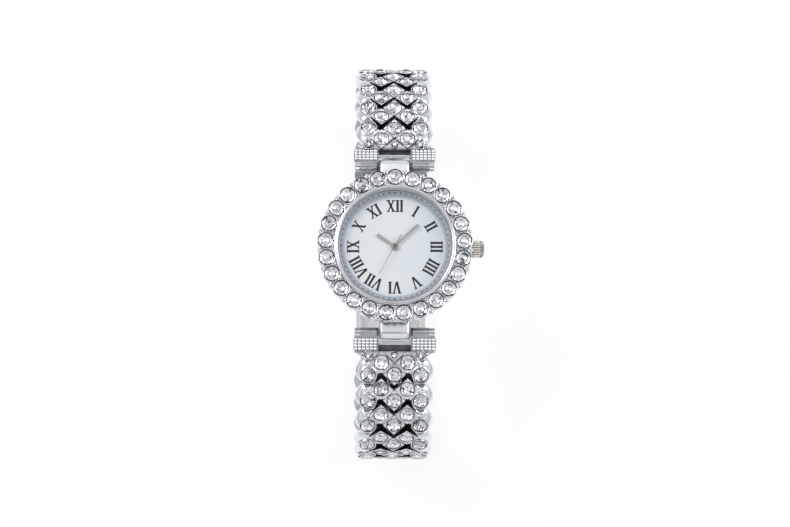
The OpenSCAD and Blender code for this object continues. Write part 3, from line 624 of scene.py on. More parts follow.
def smooth_outline(points, n=3):
    """A closed Catmull-Rom curve through the points."""
    result = []
    count = len(points)
    for i in range(count):
        p = [Vector(points[(i + k - 1) % count]) for k in range(4)]
        for s in range(n):
            t = s / n
            q = 0.5 * (2 * p[1] + (p[2] - p[0]) * t + (2 * p[0] - 5 * p[1] + 4 * p[2] - p[3]) * t * t
                       + (3 * p[1] - p[0] - 3 * p[2] + p[3]) * t ** 3)
            result.append((q.x, q.y))
    return result


def wing_outline(y):
    """The right wing's outline, counter-clockwise; y is the link's inner hinge."""
    points = [(4.45, 0.85), (5.5, 0.8), (6.25, 0.72), (6.5, 0.55), (7.25, 1.15), (7.82, 2.1),
              (8.12, 3.15), (8.1, 4.05), (7.78, 4.95), (7.1, 5.5), (6.3, 5.65), (5.2, 5.3),
              (4.5, 4.6), (4.1, 3.0), (4.1, 1.6)]
    return smooth_outline([(px, y + py) for px, py in points])


def wings(shape, y):
    """Smooth pillows along both sides, under the round cups."""
    outline = wing_outline(y)
    spine = [(6.0, y + 1.9), (6.2, y + 4.2)]
    pillow(shape, outline, spine)
    mirror = [(-x, py) for x, py in reversed(outline)]
    pillow(shape, mirror, [(-p[0], p[1]) for p in spine])


def field_plate(shape, length):
    """The plate under the cells, kept back from the zigzag gaps."""
    y2, y3 = length - 1.5 * ROW, length - 0.5 * ROW
    half = [(0, y2 + 0.5), (ROW, y2 - ROW + 0.62), (4.3, y2 - 0.5), (4.8, y2 + 0.4), (4.7, y3 - 0.3),
            (4.4, y3 + 0.75), (ROW, y3 - 0.5), (0, y3 + ROW - 0.68)]
    # Painted shade: the plate's walls in the zigzag gaps are near-black.
    prism(shape, mirrored(half), 0.1, PLATE_TOP, 0.04, FIELD, PAINTED_SHADE, POLISH)


def knuckle(shape, x0, x1, y, y0, y1, top=PAINTED_SHADE):
    """A knuckle between two x values, with the arm that ties it to its piece, its upper side painted dark as
    shade in the gap above.
    """
    rod(shape, KNUCKLE_R, x0, x1, y, finish=SATIN_AND_SHADE, top=top)
    block(shape, x0 + 0.35, x1 - 0.35, y + y0, y + y1, -0.1, SETTING_Z + 0.1, finish=top, base=SATIN_AND_SHADE)


def web(shape, start, length):
    """The web under the cells, painted dark as shade in the zigzag gap, with a lip under the next piece's
    knuckles.
    """
    half = ROW + KNUCKLE_HALF
    block(shape, -half, half, start, length - KNUCKLE_R - 0.02, WEB_Z, 0.04, finish=PAINTED_SHADE, base=POLISH)
    block(shape, -half, half, start, length - 0.5, WEB_Z - 0.22, WEB_Z, finish=PAINTED_SHADE, base=POLISH)


def hinge_out(shape, length):
    """Knuckles at the outer hinge."""
    knuckle(shape, -KNUCKLE_HALF, KNUCKLE_HALF, length, -KNUCKLE_FAR, KNUCKLE_NEAR)
    for side in (1, -1):
        knuckle(shape, *span(side, *SIDE_KNUCKLE), length, -KNUCKLE_FAR, KNUCKLE_NEAR, SATIN_AND_SHADE)


def hinge_in(shape):
    """Knuckles at the inner hinge, between those of the piece before."""
    for s in (-1, 1):
        knuckle(shape, s * ROW - KNUCKLE_HALF, s * ROW + KNUCKLE_HALF, 0, -KNUCKLE_NEAR, KNUCKLE_FAR)


def clasp_arm(shape, x0, x1, foot, inset=0):
    """What a last link reaches out to the clasp with: a plate under a rib, and a rod at its end."""
    rod(shape, CLASP_ROD_R, x0, x1, LAST_LEN)
    block(shape, x0, x1, 3, LAST_LEN, foot, 0.5)
    block(shape, x0 + inset, x1 - inset, 3, LAST_LEN - 2, 0.3, SETTING_Z + 0.1)


def link_shape(kind):
    """A link's casting. kind is plain, tube or ears: the last links meet the clasp."""
    shape = Shape()
    field_plate(shape, PITCH)
    settings(shape, PITCH)
    wings(shape, 0)
    web(shape, 1, PITCH)
    hinge_in(shape)
    if kind == "plain":
        hinge_out(shape, PITCH)
    elif kind == "tube":
        clasp_arm(shape, -TUBE_HALF, TUBE_HALF, -0.3, 1)
    else:
        for side in (-1, 1):
            clasp_arm(shape, *span(side, *EAR), -CLASP_ROD_R)
    return shape


# End links
PAD_Y = (0.9, 3.6)
PAD_X = (3.6, 8.6)
PAD_TOP = 1.22
PAD_GRID = (6, 4)
SMALL_Y = END_LEN - 1.5 * ROW - 1.4
SMALL_WALL = 0.2
MIDDLE_STONE_R = SMALL_STONE_R * 0.8
ROW_BEAD_Y = 4.25
BAR_R = 1.1
BAR_X = (3.35, 8.4)
BAR_SHOULDER = 3.8
BAR_SATIN_END = 7.2
BRIDGE_HALF = 3.45


def pad(shape, side):
    """A beaded pad beside the lug: rows of small round beads on a block."""
    x0, x1 = span(side, *PAD_X)
    block(shape, x0, x1, PAD_Y[0], PAD_Y[1], 0.2, PAD_TOP, 0.3, 0.1, SATIN_AND_SHADE)
    columns, rows = PAD_GRID
    dx = (x1 - x0 - 0.1) / columns
    dy = (PAD_Y[1] - PAD_Y[0] - 0.1) / rows
    for i in range(columns):
        for j in range(rows):
            bead(shape, x0 + 0.05 + dx * (i + 0.5), PAD_Y[0] + 0.05 + dy * (j + 0.5), PAD_TOP,
                 0.5 * min(dx, dy), 0.75)


def bar(shape, side):
    """The bar beside the lug, on its block: painted shade next to the lug, then satin, polished at the end.
    """
    x0, x1 = span(side, *BAR_X)
    rod(shape, BAR_R, x0, x1, edge=0.12, finish=POLISH)
    rod(shape, BAR_R + 0.015, *span(side, BAR_X[0], BAR_SHOULDER), edge=0.02, finish=HALF_SHADE)
    rod(shape, BAR_R + 0.01, *span(side, BAR_SHOULDER, BAR_SATIN_END), edge=0.02, finish=SATIN_AND_SHADE)
    block(shape, x0, x1, 0.3, 4.1, -0.9, 1.02, 0.1, 0.12, SATIN_AND_SHADE)


def bridge(shape):
    """The bridge between the two bars: a ridge with a rod on top, and a low step beyond it painted dark as
    shade.
    """
    rod(shape, 0.38, -BRIDGE_HALF, BRIDGE_HALF, 2.12, 0.7)
    block(shape, -BRIDGE_HALF, BRIDGE_HALF, 1.78, 2.45, -0.3, 0.7)
    block(shape, -BRIDGE_HALF, BRIDGE_HALF, 2.3, 4.0, -0.3, 0.0, finish=HALF_SHADE, base=SATIN_AND_SHADE)


def end_plate(shape):
    """The plate that carries the cells, the small stones and the wings' roots."""
    tip = END_LEN + 0.5 * ROW
    right = [(0, 3.8), (8.1, 3.8), (7.6, 4.3), (6.9, 4.9), (6.2, 5.5), (4.9, 6.6), (4.7, tip - ROW - 0.3),
             (4.4, tip - ROW + 0.75), (ROW, tip - ROW - 0.5), (0, tip - 0.68)]
    prism(shape, mirrored(right), 0.1, PLATE_TOP, 0.05, FIELD, POLISH)


def small_settings(shape):
    """Cups of the three small stones, with beads beside the outer two and a raised field in the middle."""
    for x in (-2 * ROW, 2 * ROW):
        cup(shape, x, SMALL_Y, SMALL_STONE_R + 0.06, 0.8, CELL_TOP, SMALL_WALL, 24)
        for a in (-65, -25, 15):
            a = radians(a)
            bead(shape, x + copysign(1.38, x) * cos(a), SMALL_Y + sin(a), 1.5, 0.19)
    prism(shape, [(-2.35, 3.95), (2.35, 3.95), (0, 6.1)], 0.9, 1.34, 0.12, POLISH)
    cup(shape, 0, SMALL_Y, MIDDLE_STONE_R + 0.05, 1.2, CELL_TOP + 0.02, 0.14, 24)


def end_link_shape():
    """An end link's casting, which straddles the lug with its bars and ends in a link's outer hinge."""
    shape = Shape()
    end_plate(shape)
    settings(shape, END_LEN)
    wings(shape, END_LEN - PITCH)
    small_settings(shape)
    for side in (-1, 1):
        pad(shape, side)
        bar(shape, side)
        for x in (0, side * 2 * ROW):
            bead(shape, x + side * 2.1, ROW_BEAD_Y, 1.45, 0.2)
    bridge(shape)
    web(shape, 6, END_LEN)
    hinge_out(shape, END_LEN)
    return shape


# Arms
def on_arm(side, i):
    """The matrix, in metres, from the frame of piece i of an arm to the watch."""
    y, z, tilt = LUG_Y, LUG_Z, 0.0
    for k, bend in enumerate((BENDS_12 if side > 0 else BENDS_6)[:i + 1]):
        tilt += bend
        if k < i:
            length = END_LEN if k == 0 else PITCH
            y += length * cos(radians(tilt))
            z -= length * sin(radians(tilt))
    turn = turning(0 if side > 0 else 180, "Z")
    return turn @ Matrix.Translation((0, y * MM, z * MM)) @ turning(-tilt, "X")


def build_arms():
    """Both arms, from the end links to the links that meet the clasp."""
    castings = {kind: link_shape(kind).mesh(f"casting_{kind}", CASTING)
                for kind in ("plain", "tube", "ears")}
    end_casting = end_link_shape().mesh("casting_end", CASTING)
    stones = [stone_group([(x, y, LINK_STONE_R) for x, y in link_places(PITCH)], STONE_Z, seed)
              .mesh(f"link_stones_{seed}", STONE, sharp=0) for seed in range(STONE_SETS)]
    pin = Shape()
    rod(pin, PIN_R, -2 * ROW - 0.5, 2 * ROW + 0.5)
    pin_mesh = pin.mesh("link_pin", (PIN_STEEL,))
    for side, hour in ((1, "12"), (-1, "6")):
        body = f"end_link_{hour}"
        matrix = on_arm(side, 0)
        place(end_casting, f"end_casting_{hour}", body, (body,), matrix)
        places = [(x, y, LINK_STONE_R) for x, y in link_places(END_LEN)]
        places += [(x, SMALL_Y, SMALL_STONE_R if x else MIDDLE_STONE_R) for x in (-2 * ROW, 0, 2 * ROW)]
        group = stone_group(places, STONE_Z, END_SEED + side).mesh(f"end_stones_{hour}", STONE, sharp=0)
        place(group, f"end_stones_{hour}", body, matrix=matrix)
        for i in range(1, LINKS + 1):
            body = f"link_{hour}_{i}"
            kind = "plain" if i < LINKS else "tube" if side > 0 else "ears"
            matrix = on_arm(side, i)
            place(castings[kind], f"casting_{hour}_{i}", body, (body,), matrix)
            stone_mesh = stones[(i * 2 + (side > 0)) % STONE_SETS]
            place(stone_mesh, f"stones_{hour}_{i}", body, matrix=matrix)
            place(pin_mesh, f"pin_{hour}_{i}", body, matrix=matrix)


# Case
LUG_ROOT_Y = 13.9
LUG_STEPS = 20
LUG_EDGE = 0.6
EDGE_STEPS = 5


def lug_loop(x, shrink):
    """The lug's side outline at x, drawn in by shrink: a tongue with a round end over the lug pin."""
    r = LUG_R - shrink
    loop = [(x, LUG_ROOT_Y, LUG_Z - r), (x, LUG_Y, LUG_Z - r)]
    for k in range(1, LUG_STEPS):
        a = pi * k / LUG_STEPS
        loop.append((x, LUG_Y + r * sin(a), LUG_Z - r * cos(a)))
    return loop + [(x, LUG_Y, LUG_Z + r), (x, LUG_ROOT_Y, LUG_Z + r)]


def lug(shape):
    """A smooth tongue whose side edges are well rounded."""
    steps = []
    for k in range(EDGE_STEPS + 1):
        a = pi / 2 * k / EDGE_STEPS
        steps.append((LUG_HALF - LUG_EDGE * (1 - cos(a)), LUG_EDGE * (1 - sin(a))))
    stations = [(-x, s) for x, s in steps] + [(x, s) for x, s in reversed(steps)]
    loops = [lug_loop(x, s) for x, s in stations]
    points, faces = rings(loops, cap_start=True, cap_end=True)
    # Painted light across the tongue: a painted highlight along its middle, grading through lighter tones to
    # painted shade on its rounded sides.
    bands = [HALF_SHADE, SATIN_AND_SHADE, SATIN_AND_SHADE, FIELD, POLISH, HIGHLIGHT, POLISH, FIELD, SATIN_AND_SHADE, SATIN_AND_SHADE, HALF_SHADE]
    shape.add(points, faces, [b for b in bands for _ in loops[0]] + [SATIN_AND_SHADE] * 2)


def case_shape():
    """The case middle with soft edges and a brushed flank, its two lugs and the crown's tube."""
    shape = Shape()
    r = CASE_R
    profile = [(CAVITY_R, BACK_T), (BACK_SEAT_R, BACK_T), (r - 1.3, BACK_T), (r - 1.05, BACK_T + 0.08),
               (r - 0.85, BACK_T + 0.3), (r - 0.15, BACK_T + 1.35), (r - 0.02, BACK_T + 1.6),
               (r, BACK_T + 1.85), (r, CASE_TOP - 0.5), (r - 0.1, CASE_TOP - 0.25), (r - 0.4, CASE_TOP),
               (DIAL_R + 0.08, CASE_TOP), (DIAL_R + 0.08, CASE_TOP - 0.4), (CAVITY_R, CASE_TOP - 0.4)]
    lathe(shape, profile, WIDE_SIDES, finish=[POLISH] * 7 + [SATIN_AND_SHADE] + [POLISH] * 6, closed=True)
    tongue = Shape()
    lug(tongue)
    for turn in (0, 180):
        shape.put(tongue, turning(turn, "Z"))
    crown_tube(shape)
    return shape


def crown_tube(shape):
    """The tube that carries the crown, rooted 1 mm inside the case's flank."""
    tube = Shape()
    end = 1 + TUBE_LEN
    lathe(tube, [(TUBE_R, 0), (TUBE_R, end - 0.08), (TUBE_R - 0.08, end), (0.5, end), (0.5, 0)], 32,
          closed=True)
    shape.put(tube, Matrix.Translation((CASE_R - 1, 0, CROWN_Z)) @ turning(90, "Y"))


# Bezel
BEZEL_STEP = 360 / BEZEL_N
FLANGE_IN = 12.9
LIP_FOOT = 6.75
CUP_FLOOR = 6.85
NOTCH_R = 15.72
NOTCH_TOP = 6.98
NOTCH_BEADS = ((16.08, 0.0), (15.68, -1.15), (15.68, 1.15))
INNER_NOTCH_R = 13.08
INNER_NOTCH_TOP = 7.1


def polar(r, degrees):
    """A point at a radius, with the angle counted from 12 o'clock, anticlockwise."""
    a = radians(90 + degrees)
    return r * cos(a), r * sin(a)


def bezel_shape():
    """The bezel's flange and lip, its round cups and the beads between them."""
    shape = Shape()
    flange = [(BORE_R, CASE_TOP), (FLANGE_R - 0.12, CASE_TOP), (FLANGE_R, CASE_TOP + 0.15),
              (FLANGE_R, FLANGE_TOP - 0.2), (FLANGE_R - 0.15, FLANGE_TOP), (FLANGE_IN, FLANGE_TOP)]
    lip = [(LIP_R, LIP_FOOT), (LIP_R, LIP_TOP - 0.32), (LIP_R - 0.06, LIP_TOP - 0.16),
           (LIP_R - 0.16, LIP_TOP - 0.05), (LIP_R - 0.28, LIP_TOP), (BORE_R + 0.24, LIP_TOP),
           (BORE_R + 0.18, LIP_TOP - 0.03), (BORE_R, LIP_TOP - 0.14)]
    # The lip's outer wall carries a painted highlight and the band at its inner edge a thin line of painted
    # shade.
    lathe(shape, flange + lip, WIDE_SIDES, closed=True,
          finish=[SATIN_AND_SHADE] + [MIRROR] * 3 + [FIELD] * 2 + [HIGHLIGHT] + [POLISH] * 5 + [SATIN_AND_SHADE, POLISH])
    cup_profile = [(CUP_R, CASE_TOP), (CUP_R, CUP_TOP - 0.16), (CUP_R - 0.05, CUP_TOP - 0.05),
                   (CUP_R - 0.09, CUP_TOP), (CUP_R - 0.13, CUP_TOP - 0.01),
                   (BEZEL_SEAT_R, CUP_TOP - 0.06), (BEZEL_SEAT_R, CUP_FLOOR), (0.01, CUP_FLOOR)]
    for i in range(BEZEL_N):
        # Painted shade: each cup's seat under its stone is near-black.
        lathe(shape, cup_profile, 40, polar(BEZEL_R, i * BEZEL_STEP), [POLISH] * 5 + [PAINTED_SHADE] * 2)
        notch_beads(shape, (i + 0.5) * BEZEL_STEP)
    return shape


def notch_beads(shape, angle):
    """Three beads on a post in the outer notch between two cups, and one in the inner notch."""
    post = [(0.5, CASE_TOP), (0.5, NOTCH_TOP - 0.08), (0.35, NOTCH_TOP), (0.01, NOTCH_TOP)]
    lathe(shape, post, 12, polar(NOTCH_R, angle), SATIN_AND_SHADE)
    for r, shift in NOTCH_BEADS:
        bead(shape, *polar(r, angle + shift), NOTCH_TOP, 0.27)
    inner = polar(INNER_NOTCH_R, angle)
    lathe(shape, [(0.24, 6.6), (0.24, INNER_NOTCH_TOP), (0.01, INNER_NOTCH_TOP)], 10, inner, SATIN_AND_SHADE)
    bead(shape, *inner, INNER_NOTCH_TOP, 0.22)


def build_bezel():
    """The bezel in detail, and its ring of cut stones."""
    bezel = bezel_shape().mesh("bezel_detail", CASTING)
    place(bezel, "bezel_detail", "case", ("bezel",))
    places = [(*polar(BEZEL_R, i * BEZEL_STEP), BEZEL_STONE_R) for i in range(BEZEL_N)]
    stones = stone_group(places, CUP_TOP, BEZEL_SEED).mesh("bezel_stones_cut", STONE, sharp=0)
    place(stones, "bezel_stones_cut", "case", ("bezel_stones",))


# Dial and hands
DISC_FOOT = 4.9
HUB_HOLE_R = 0.78
DIAL_FEET = ((6.2, 5.2), (-6.2, 5.2))
LETTER_W = {"I": 0.84, "V": 2.02, "X": 1.95}
HOURS = ("XII", "I", "II", "III", "IIII", "V", "VI", "VII", "VIII", "IX", "X", "XI")
THICK = 0.47
THIN = 0.29
SERIF = 0.2
INK_T = 0.02
MINUTE_TICK = 1.7
HOUR_TICK = 2.5
SHADOWED, TICK, LINE, GREY, EDGE = range(5)
BLADE, HUB, PIVOT = range(3)
SHOWN_HOUR = 10
SHOWN_MINUTE = 7.8
SHOWN_SECOND = 34.8


def stroke(shape, a, b, width):
    """A straight printed bar whose ends are level."""
    (x0, y0), (x1, y1) = a, b
    half = width / 2
    quad = [(x0 - half, y0), (x0 + half, y0), (x1 + half, y1), (x1 - half, y1)]
    loops = [[(x, y, z) for x, y in quad] for z in (0, INK_T)]
    shape.add(*rings(loops, cap_start=True, cap_end=True))


def letter(shape, kind, x):
    """One serif letter with its middle at x, standing from y = 0 to NUMERAL_H."""
    h = NUMERAL_H

    def foot(cx, y, w):
        stroke(shape, (cx, y), (cx, y + SERIF), w)

    if kind == "I":
        stroke(shape, (x, 0.05), (x, h - 0.05), THICK)
        foot(x, 0, 0.74)
        foot(x, h - SERIF, 0.74)
    elif kind == "V":
        stroke(shape, (x - 0.6, h - 0.05), (x + 0.02, 0), THICK)
        stroke(shape, (x + 0.64, h - 0.05), (x + 0.1, 0), THIN)
        foot(x - 0.6, h - SERIF, 0.82)
        foot(x + 0.64, h - SERIF, 0.66)
    else:
        stroke(shape, (x - 0.58, h - 0.05), (x + 0.58, 0.05), THICK)
        stroke(shape, (x + 0.56, h - 0.05), (x - 0.56, 0.05), THIN)
        for cx, y in ((x - 0.58, h - SERIF), (x + 0.58, 0)):
            foot(cx, y, 0.78)
        for cx, y in ((x + 0.56, h - SERIF), (x - 0.56, 0)):
            foot(cx, y, 0.66)


def numerals_shape():
    """Twelve Roman hours, each with its top outwards."""
    shape = Shape()
    for hour, text in enumerate(HOURS):
        word = Shape()
        width = sum(LETTER_W[c] for c in text)
        x = -width / 2
        for c in text:
            letter(word, c, x + LETTER_W[c] / 2)
            x += LETTER_W[c]
        shape.put(word, turning(-30 * hour, "Z") @ Matrix.Translation((0, NUMERAL_R, DIAL_TOP + 0.002)))
    return shape


def ring_shape():
    """The ring round the dial: a hollow slope, a rim with sixty dots, a bright line and the seat."""
    shape = Shape()
    top = DIAL_TOP + RING_H
    slope = [(11.1, top - 0.42), (10.86, DIAL_TOP + 0.42), (10.62, DIAL_TOP + 0.18),
             (10.42, DIAL_TOP + 0.07), (RING_FOOT_R, DIAL_TOP + 0.015)]
    profile = [(RING_FOOT_R, DIAL_TOP), (RING_R, DIAL_TOP), (RING_R, top), (11.64, top), (11.6, top - 0.06),
               (11.47, top - 0.1), (11.42, top - 0.2), (11.17, top - 0.28)] + slope
    # The slope carries the painted shadow; the seat is dark, partly as the gasket and partly as painted
    # shadow under the lip.
    lathe(shape, profile, WIDE_SIDES, closed=True,
          finish=[SHADOWED, SHADOWED, EDGE, TICK, LINE, TICK, GREY, GREY] + [SHADOWED] * 5)
    for k in range(60):
        half = (MINUTE_TICK if k % 5 else HOUR_TICK) / 2
        a, b, c, d = ((*polar(r, 6 * k + turn), z) for r, z in ((11.18, top - 0.27), (11.41, top - 0.195))
                      for turn in (-half, half))
        shape.add([a, b, d, c], [(0, 1, 2, 3)], TICK)
    return shape


def blade(shape, outline, z):
    """A thin blade with a soft crown over a counter-clockwise outline."""
    loops = [[(x, y, z) for x, y in outline], [(x, y, z + 0.06) for x, y in outline],
             [(x, y, z + 0.1) for x, y in offset(outline, 0.05)]]
    shape.add(*rings(loops, cap_start=True, cap_end=True), BLADE)


def hand_shape(z, length, base, tip, hub):
    """A baton hand to 12 o'clock, widest just before its round tip, on a round hub."""
    shape = Shape()
    r = tip / 2
    outline = [(-base / 2, 0), (base / 2, 0), (r, length - 1.5 * r)]
    outline += [(r * cos(a), length - r + r * sin(a)) for a in (0.4, 0.9, 1.57, 2.24, 2.74)]
    blade(shape, outline + [(-r, length - 1.5 * r)], z)
    lathe(shape, [(hub, z), (hub, z + 0.12), (hub - 0.08, z + 0.18), (0.01, z + 0.18)], 32)
    return shape


def seconds_shape(z, length, tail):
    """The thin seconds hand with its wedge-shaped tail and its olive cap over a dark pivot."""
    shape = Shape()
    blade(shape, [(-0.08, 0), (0.08, 0), (0.06, length), (-0.06, length)], z)
    blade(shape, [(0.08, 0), (-0.08, 0), (-0.17, -tail), (0.17, -tail)], z)
    lathe(shape, [(0.46, z), (0.46, z + 0.16), (0.38, z + 0.24), (0.16, z + 0.26)], 32, finish=HUB)
    lathe(shape, [(0.16, z + 0.2), (0.16, z + 0.3), (0.12, z + 0.33), (0.01, z + 0.33)], 20, finish=PIVOT)
    return shape


def build_dial():
    """The dial with its feet and numerals, and the ring round it."""
    disc = Shape()
    lathe(disc, [(DIAL_R, DISC_FOOT), (DIAL_R, DIAL_TOP - 0.03), (DIAL_R - 0.03, DIAL_TOP),
                 (HUB_HOLE_R, DIAL_TOP), (HUB_HOLE_R, DISC_FOOT)], 128, closed=True)
    for at in DIAL_FEET:
        lathe(disc, [(0.3, 4.95), (0.3, 3.7), (0.01, 3.7)], 16, at)
    place(disc.mesh("dial_face", (PEARL,)), "dial_face", "case", ("dial",))
    place(numerals_shape().mesh("dial_numerals", (INK,), sharp=0), "dial_numerals", "case")
    ring = ring_shape().mesh("dial_ring_detail", (RING_SHADOW, TICK_GREY, RING_LINE, RING_GREY, RING_GASKET_SHADOW))
    place(ring, "dial_ring_detail", "case", ("dial_ring",))


def build_hands():
    """The three hands, turned clockwise to the photographed time."""
    hour = hand_shape(z=5.65, length=4.5, base=0.42, tip=0.68, hub=0.8)
    minute = hand_shape(z=5.95, length=6.8, base=0.36, tip=0.54, hub=0.72)
    seconds = seconds_shape(z=6.25, length=7.15, tail=2.65)
    hands = (("hour", "hours", hour, 30 * (SHOWN_HOUR + SHOWN_MINUTE / 60)),
             ("minute", "minutes", minute, 6 * SHOWN_MINUTE),
             ("seconds", "seconds", seconds, 6 * SHOWN_SECOND))
    for name, body, upright, degrees in hands:
        hand = Shape()
        hand.put(upright, turning(-degrees, "Z"))
        mesh = hand.mesh(f"{name}_blade", (HAND_METAL, HUB_METAL, SHADE), sharp=25)
        place(mesh, f"{name}_blade", body, (f"{name}_hand",))


# Crown
CROWN_X = 15.9
CROWN_R = 1.875
FLUTES = 22
FLUTE_MEAN_R = 1.75
VALLEY = 0.3
CAP_X = 2.1
BODY, GROOVE_SHADE, CAP = range(3)


def crown_shape():
    """The fluted crown along x, with a domed end and its hollow foot; the flutes' valleys are painted dark as
    shade.
    """
    shape = Shape()
    n = FLUTES * 6
    loops, finish = [], []
    profile = [(1.12, 1.4, 0), (1.12, 0.0, 0), (1.5, 0.0, 0), (1.68, 0.1, 0.4), (FLUTE_MEAN_R, 0.25, 1),
               (FLUTE_MEAN_R, 2.0, 1), (1.68, 2.3, 0.8), (1.5, 2.6, 0.3), (1.2, 2.78, 0), (0.8, 2.87, 0),
               (0.35, 2.9, 0), (0.01, 2.9, 0)]
    for r, x, flute in profile:
        loop = []
        for i in range(n):
            a = 2 * pi * i / n
            reach = r + flute * (CROWN_R - FLUTE_MEAN_R) * (2 * abs(cos(FLUTES * a / 2)) ** 0.7 - 1)
            loop.append((CROWN_X + x, reach * cos(a), CROWN_Z + reach * sin(a)))
            # Painted shade in the valleys of the flutes.
            valley = abs(cos(FLUTES * pi * (i + 0.5) / n)) < VALLEY
            finish.append(GROOVE_SHADE if flute > 0.5 and valley else CAP if x > CAP_X else BODY)
        loops.append(loop)
    shape.add(*rings(loops), finish[n:])
    return shape


# Nodes carried over from the CAD
def dress_nodes():
    """Finishes of the CAD nodes that show as they are."""
    finishes = {
        CHROME: ("case",),
        STEEL: ("case_back", "clasp_cover", "clasp_middle", "clasp_base", "battery_clamp", "setting_lever"),
        PIN_STEEL: ("lug_pins", "clasp_cover_pins", "clasp_middle_pin", "clasp_base_bar", "stem"),
        CRYSTAL: ("crystal",), NYLON: ("crystal_gasket",),
        RUBBER: ("case_back_gasket", "crown_gasket"), PLASTIC: ("movement_holder",),
        BRASS: ("main_plate", "train_bridge", "fifth_wheel", "seconds_wheel", "third_wheel", "centre_wheel",
                "minute_wheel", "hour_wheel"),
        BOARD: ("circuit_board",), COPPER: ("coil",), IRON: ("stator", "rotor"), CELL: ("battery",),
    }
    for material, names in finishes.items():
        for name in names:
            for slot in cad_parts[name].material_slots:
                slot.material = material


# Stage
FLOOR_Z = -41.73
FLOOR_HALF = 3000
FLOOR_WHITE = 0.84
TILT = 11.35
YAW = 1.2
DISTANCE = 0.6
PIXELS_PER_MM = 4.79
AIM_DOWN = 3.7
AIM_Z = 6.3
IMAGE_W = 790
TENT = ((0.0, (0.85, 0.86, 0.88)), (0.22, (0.55, 0.56, 0.58)), (0.34, (0.97, 0.98, 1.0)),
        (0.52, (0.97, 0.98, 1.0)), (0.6, (0.28, 0.29, 0.31)), (0.68, (1.0, 1.0, 1.0)),
        (0.9, (0.97, 0.98, 1.0)), (0.975, (0.62, 0.63, 0.66)), (0.997, (0.22, 0.22, 0.24)))
TENT_LIGHT = 0.9
LAMPS = (("key_left", (-0.45, 0.25, 0.62), (0.4, 0.4), 3.2, (1, 0.985, 0.96)),
         ("fill_right", (0.5, 0.1, 0.5), (0.35, 0.5), 1.8, (0.93, 0.97, 1)))


def seen_or_reflected(tree):
    """1 for camera, glossy and transmission rays, which see the floor as white."""
    path = tree.nodes.new("ShaderNodeLightPath")
    seen = path.outputs["Is Camera Ray"]
    for ray in ("Is Glossy Ray", "Is Transmission Ray"):
        seen = tree.add("ShaderNodeMath", {0: seen, 1: path.outputs[ray]}, "MAXIMUM").outputs[0]
    return seen


def send_mix(tree, share, first, second, output):
    """Sends a mix of two shaders to an output node of a kind."""
    mix = tree.add("ShaderNodeMixShader", {0: share, 1: first.outputs[0], 2: second.outputs[0]})
    tree.add(output, {"Surface": mix.outputs[0]})


def floor_material():
    """A pale floor that reads as white and keeps the soft shadow."""
    tree = Tree(bpy.data.materials.new("studio_floor"))
    tree.nodes.clear()
    diffuse = tree.add("ShaderNodeBsdfDiffuse", {"Color": (0.86, 0.86, 0.86, 1)})
    white = tree.add("ShaderNodeEmission", {"Color": (1, 1, 1, 1), "Strength": 1.0})
    share = tree.add("ShaderNodeMath", {0: seen_or_reflected(tree), 1: FLOOR_WHITE}, "MULTIPLY")
    send_mix(tree, share.outputs[0], diffuse, white, "ShaderNodeOutputMaterial")
    return tree.owner


def build_floor():
    """The level floor that the closed loop stands on."""
    s = FLOOR_HALF
    level = Shape()
    level.add([(x, y, FLOOR_Z) for x, y in ((-s, -s), (s, -s), (s, s), (-s, s))], [(0, 1, 2, 3)])
    floor = linked("studio_floor", level.mesh("studio_floor", (floor_material(),), sharp=0))


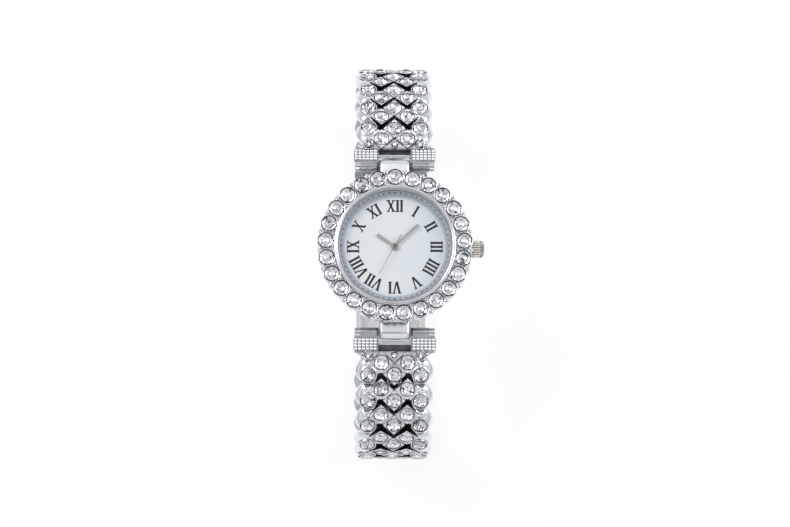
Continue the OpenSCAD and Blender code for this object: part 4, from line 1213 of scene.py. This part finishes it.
def build_world():
    """A studio: white where it is seen, and a soft tent with darker gaps where metal mirrors it."""
    world = bpy.data.worlds.new("studio")
    bpy.context.scene.world = world
    tree = Tree(world)
    tree.nodes.clear()
    direction = tree.nodes.new("ShaderNodeTexCoord").outputs["Generated"]
    aim = tree.add("ShaderNodeVectorMath", {0: direction, 1: view_axes()[2]}, "DOT_PRODUCT")
    tent = tree.ramp(aim.outputs["Value"], TENT, "EASE")
    light = tree.add("ShaderNodeBackground", {"Color": tent, "Strength": TENT_LIGHT})
    white = tree.add("ShaderNodeBackground", {"Color": (1, 1, 1, 1)})
    path = tree.nodes.new("ShaderNodeLightPath")
    send_mix(tree, path.outputs["Is Camera Ray"], light, white, "ShaderNodeOutputWorld")


def softbox(name, place_at, size, power, colour):
    """An area lamp that faces the watch."""
    lamp = bpy.data.lights.new(name, "AREA")
    lamp.shape = "RECTANGLE"
    lamp.size, lamp.size_y = size
    lamp.energy = power
    lamp.color = colour
    light = linked(name, lamp)
    light.location = place_at
    light.rotation_euler = (-Vector(place_at)).to_track_quat("-Z", "Y").to_euler()


def view_axes():
    """The camera's right, up and backward directions: tilted to 6 o'clock and turned a little to 9."""
    tilt, yaw = radians(TILT), radians(YAW)
    away = Vector((-sin(yaw) * cos(tilt), -sin(tilt), cos(yaw) * cos(tilt)))
    right = Vector((cos(yaw), 0, sin(yaw)))
    return right, away.cross(right), away


def build_camera():
    """The photograph's view: from above, towards 6 o'clock, aimed a little below the hands."""
    right, up, away = view_axes()
    target = Vector((0, 0, AIM_Z * MM)) - up * AIM_DOWN * MM
    data = bpy.data.cameras.new("camera")
    data.sensor_width = 36
    data.lens = PIXELS_PER_MM / MM * DISTANCE * data.sensor_width / IMAGE_W
    data.clip_start = 0.01
    camera = linked("camera", data)
    turn = Matrix((right, up, away)).transposed().to_4x4()
    camera.matrix_world = Matrix.Translation(target + away * DISTANCE) @ turn
    bpy.context.scene.camera = camera


def build_stage():
    """World, floor, lamps and camera."""
    scene = bpy.context.scene
    scene.view_settings.view_transform = "Standard"
    build_world()
    build_floor()
    for lamp in LAMPS:
        softbox(*lamp)
    build_camera()


def main():
    """Builds the stage and dresses the watch."""
    build_stage()
    build_arms()
    case = case_shape().mesh("case_detail", CASTING)
    place(case, "case_detail", "case", ("case",))
    build_bezel()
    build_dial()
    build_hands()
    crown = crown_shape().mesh("crown_detail", (CROWN_METAL, CROWN_GROOVE_SHADE, CROWN_CAP), sharp=40)
    place(crown, "crown_detail", "crown", ("crown",))
    dress_nodes()


main()
